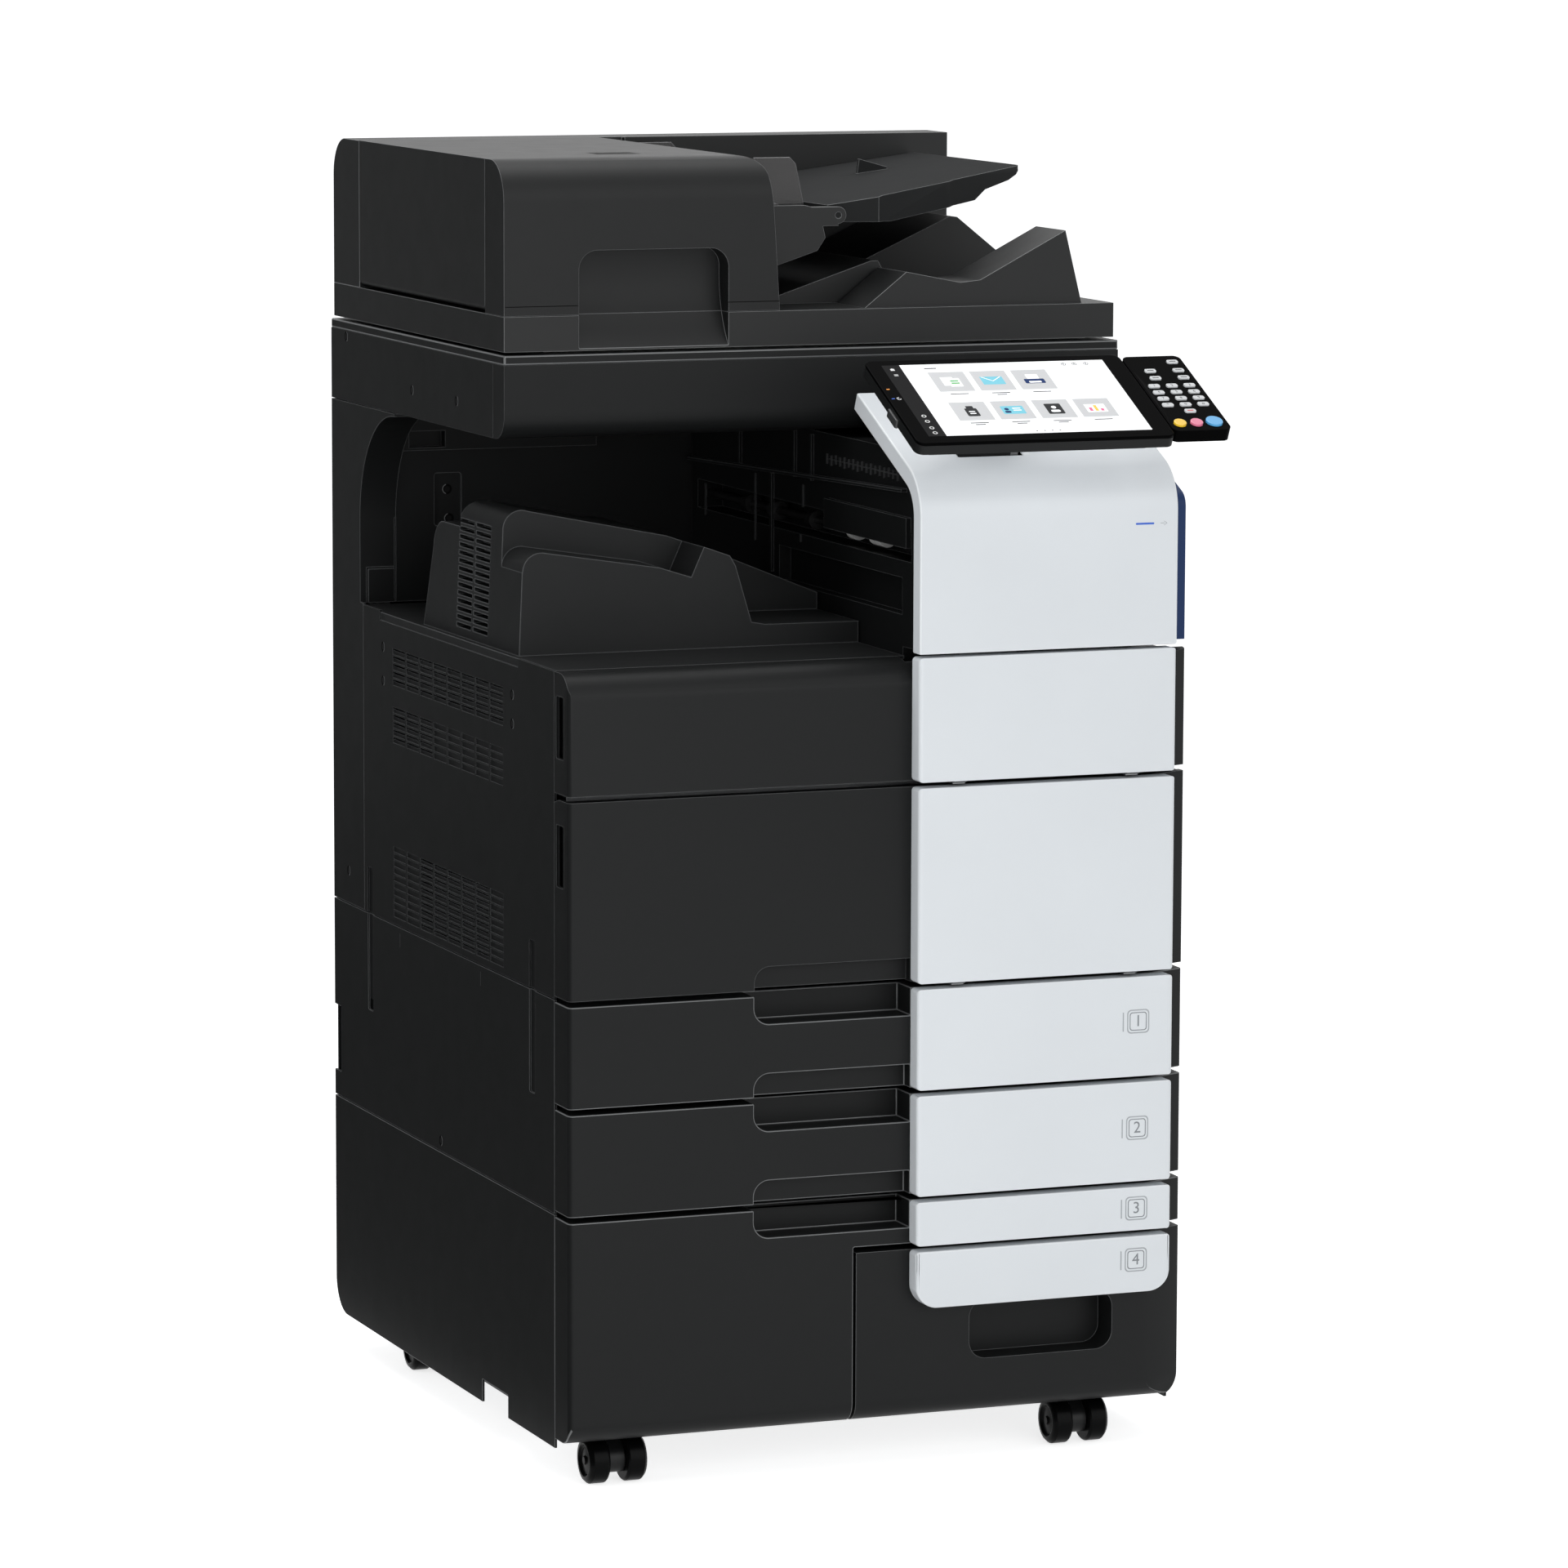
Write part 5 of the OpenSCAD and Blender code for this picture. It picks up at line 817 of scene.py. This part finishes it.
wall_seam = rounded(544, 1024, 544.7, 1092, 0.2, 2)
slabs("rear_wall_seam", [wall_seam], REAR_WALL, -0.1, 0.06, TRIM["groove"], "feeder_lid")
cover_at = Vector((ORIGIN.x, ORIGIN.y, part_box("feed_cover")[1].z))
COVER_TOP = plane(cover_at, (1, 0, 0), (0, 1, 0), (0, 0, 1))
grip = [rounded(124, 268 + GRIP_PITCH * i, 168, 273 + GRIP_PITCH * i, 2, 4) for i in range(4)]
slabs("cover_grip", grip, COVER_TOP, -0.4, 0.0, TRIM["rim"], "feed_cover")


# Camera, light and floor

CAMERA_AT = (-2116.0, -5938.7, 1481.2)
CAMERA_YAW = math.radians(21.3736)
CAMERA_PITCH = math.radians(7.8556)
CAMERA_ROLL = math.radians(0.1896)
CAMERA_FOCUS_PX = 8654.31
FRAME_PX = 1920
SENSOR_MM = 36.0
FAR_M = 400
ROOM_COLOUR = (0.96, 0.98, 1.0, 1)
ROOM_LIGHT = 0.42
WHITE_LIGHT = (1, 1, 1, 1)
FLOOR_COLOUR = (0.9, 0.9, 0.9, 1)
FLOOR_GLOW = 0.72
FLOOR_HALF_M = 150
FLOOR_DROP_M = 0.0005
FLAG_COLOUR = (0.14, 0.14, 0.14, 1)
FLAG_Y = (-500, 4200)
FLAG_XZ = ((-30, -45), (-460, -45), (-460, 2300))


def make_camera():
    data = bpy.data.cameras.new("camera")
    data.sensor_width = SENSOR_MM
    data.lens = CAMERA_FOCUS_PX / FRAME_PX * SENSOR_MM
    data.clip_end = FAR_M
    cam = bpy.data.objects.new("camera", data)
    bpy.context.scene.collection.objects.link(cam)
    run = math.cos(CAMERA_PITCH)
    drop = math.sin(CAMERA_PITCH)
    ahead = Vector((math.sin(CAMERA_YAW) * run, math.cos(CAMERA_YAW) * run, -drop))
    cam.rotation_mode = "QUATERNION"
    cam.rotation_quaternion = ahead.to_track_quat("-Z", "Y") @ Quaternion((0, 0, 1), CAMERA_ROLL)
    cam.location = at(*CAMERA_AT)
    bpy.context.scene.camera = cam


def area_light(name, place, target, size, watts):
    data = bpy.data.lights.new(name, "AREA")
    data.shape = "RECTANGLE"
    data.size, data.size_y = size
    data.energy = watts
    lamp = bpy.data.objects.new(name, data)
    lamp.location = place
    lamp.rotation_euler = (Vector(target) - Vector(place)).to_track_quat("-Z", "Y").to_euler()
    bpy.context.scene.collection.objects.link(lamp)


def sun_light(name, direction, strength, soft):
    data = bpy.data.lights.new(name, "SUN")
    data.energy = strength
    data.angle = math.radians(soft)
    lamp = bpy.data.objects.new(name, data)
    lamp.rotation_euler = Vector(direction).to_track_quat("-Z", "Y").to_euler()
    bpy.context.scene.collection.objects.link(lamp)


def seen_ray(nodes, links):
    """1 for rays that show the surroundings: to the camera, in a reflection or through glass."""
    path = nodes.new("ShaderNodeLightPath")
    total = path.outputs["Is Camera Ray"]
    for kind in ("Is Glossy Ray", "Is Transmission Ray"):
        add = nodes.new("ShaderNodeMath")
        add.operation = "MAXIMUM"
        links.new(total, add.inputs[0])
        links.new(path.outputs[kind], add.inputs[1])
        total = add.outputs["Value"]
    return total


def make_world():
    world = bpy.data.worlds.new("studio")
    bpy.context.scene.world = world
    world.use_nodes = True
    nodes, links = world.node_tree.nodes, world.node_tree.links
    nodes.clear()
    out = nodes.new("ShaderNodeOutputWorld")
    mix = nodes.new("ShaderNodeMixShader")
    room = nodes.new("ShaderNodeBackground")
    room.inputs["Color"].default_value = ROOM_COLOUR
    room.inputs["Strength"].default_value = ROOM_LIGHT
    seen = nodes.new("ShaderNodeBackground")
    seen.inputs["Color"].default_value = WHITE_LIGHT
    seen.inputs["Strength"].default_value = 1.0
    links.new(seen_ray(nodes, links), mix.inputs["Fac"])
    links.new(room.outputs["Background"], mix.inputs[1])
    links.new(seen.outputs["Background"], mix.inputs[2])
    links.new(mix.outputs["Shader"], out.inputs["Surface"])


def make_floor():
    """White floor that is seen as bright as the background and keeps the shadow."""
    mat, nodes, links, bsdf = shader("floor")
    bsdf.inputs["Base Color"].default_value = FLOOR_COLOUR
    bsdf.inputs["Roughness"].default_value = 0.9
    bsdf.inputs["Specular IOR Level"].default_value = 0.0
    gain = nodes.new("ShaderNodeMath")
    gain.operation = "MULTIPLY"
    gain.inputs[1].default_value = FLOOR_GLOW
    links.new(seen_ray(nodes, links), gain.inputs[0])
    bsdf.inputs["Emission Color"].default_value = WHITE_LIGHT
    links.new(gain.outputs["Value"], bsdf.inputs["Emission Strength"])
    bm = bmesh.new()
    bmesh.ops.create_grid(bm, x_segments=1, y_segments=1, size=FLOOR_HALF_M)
    floor = mesh_object("floor", bm, mat)
    floor.location.z = -FLOOR_DROP_M


def make_flag():
    """Dark studio flag beside and below the left face, met by reflections only."""
    mat, nodes, links, bsdf = shader("flag")
    bsdf.inputs["Base Color"].default_value = FLAG_COLOUR
    bsdf.inputs["Specular IOR Level"].default_value = 0.0
    bm = bmesh.new()
    rows = [[bm.verts.new(at(x, y, z)) for y in FLAG_Y] for x, z in FLAG_XZ]
    for low, high in zip(rows, rows[1:]):
        bm.faces.new((*low, *reversed(high)))
    flag = mesh_object("flag", bm, mat)
    for ray in ("camera", "diffuse", "transmission", "volume_scatter", "shadow"):
        setattr(flag, "visible_" + ray, False)


# The room's soft light passes the control panel, which leaves the lamps' shadow of it on the column
for node_name in ("panel_housing", "panel_glass", "keypad_housing"):
    NODES[node_name].visible_diffuse = False

make_camera()
make_world()
make_floor()
make_flag()
sun_light("key", (-0.38, 0.92, -0.34), strength=0.46, soft=40)
area_light("left_panel", (-3.4, -0.8, 1.4), (-0.1, -0.1, 0.7), size=(2.4, 2.2), watts=30)
area_light("front_panel", (-0.5, -3.4, 1.3), (0.0, 0.0, 0.7), size=(2.4, 2.2), watts=27)
area_light("top_panel", (-0.4, 0.2, 3.4), (0, 0, 0.9), size=(2.6, 2.6), watts=60)

bpy.context.scene.view_settings.view_transform = "Standard"
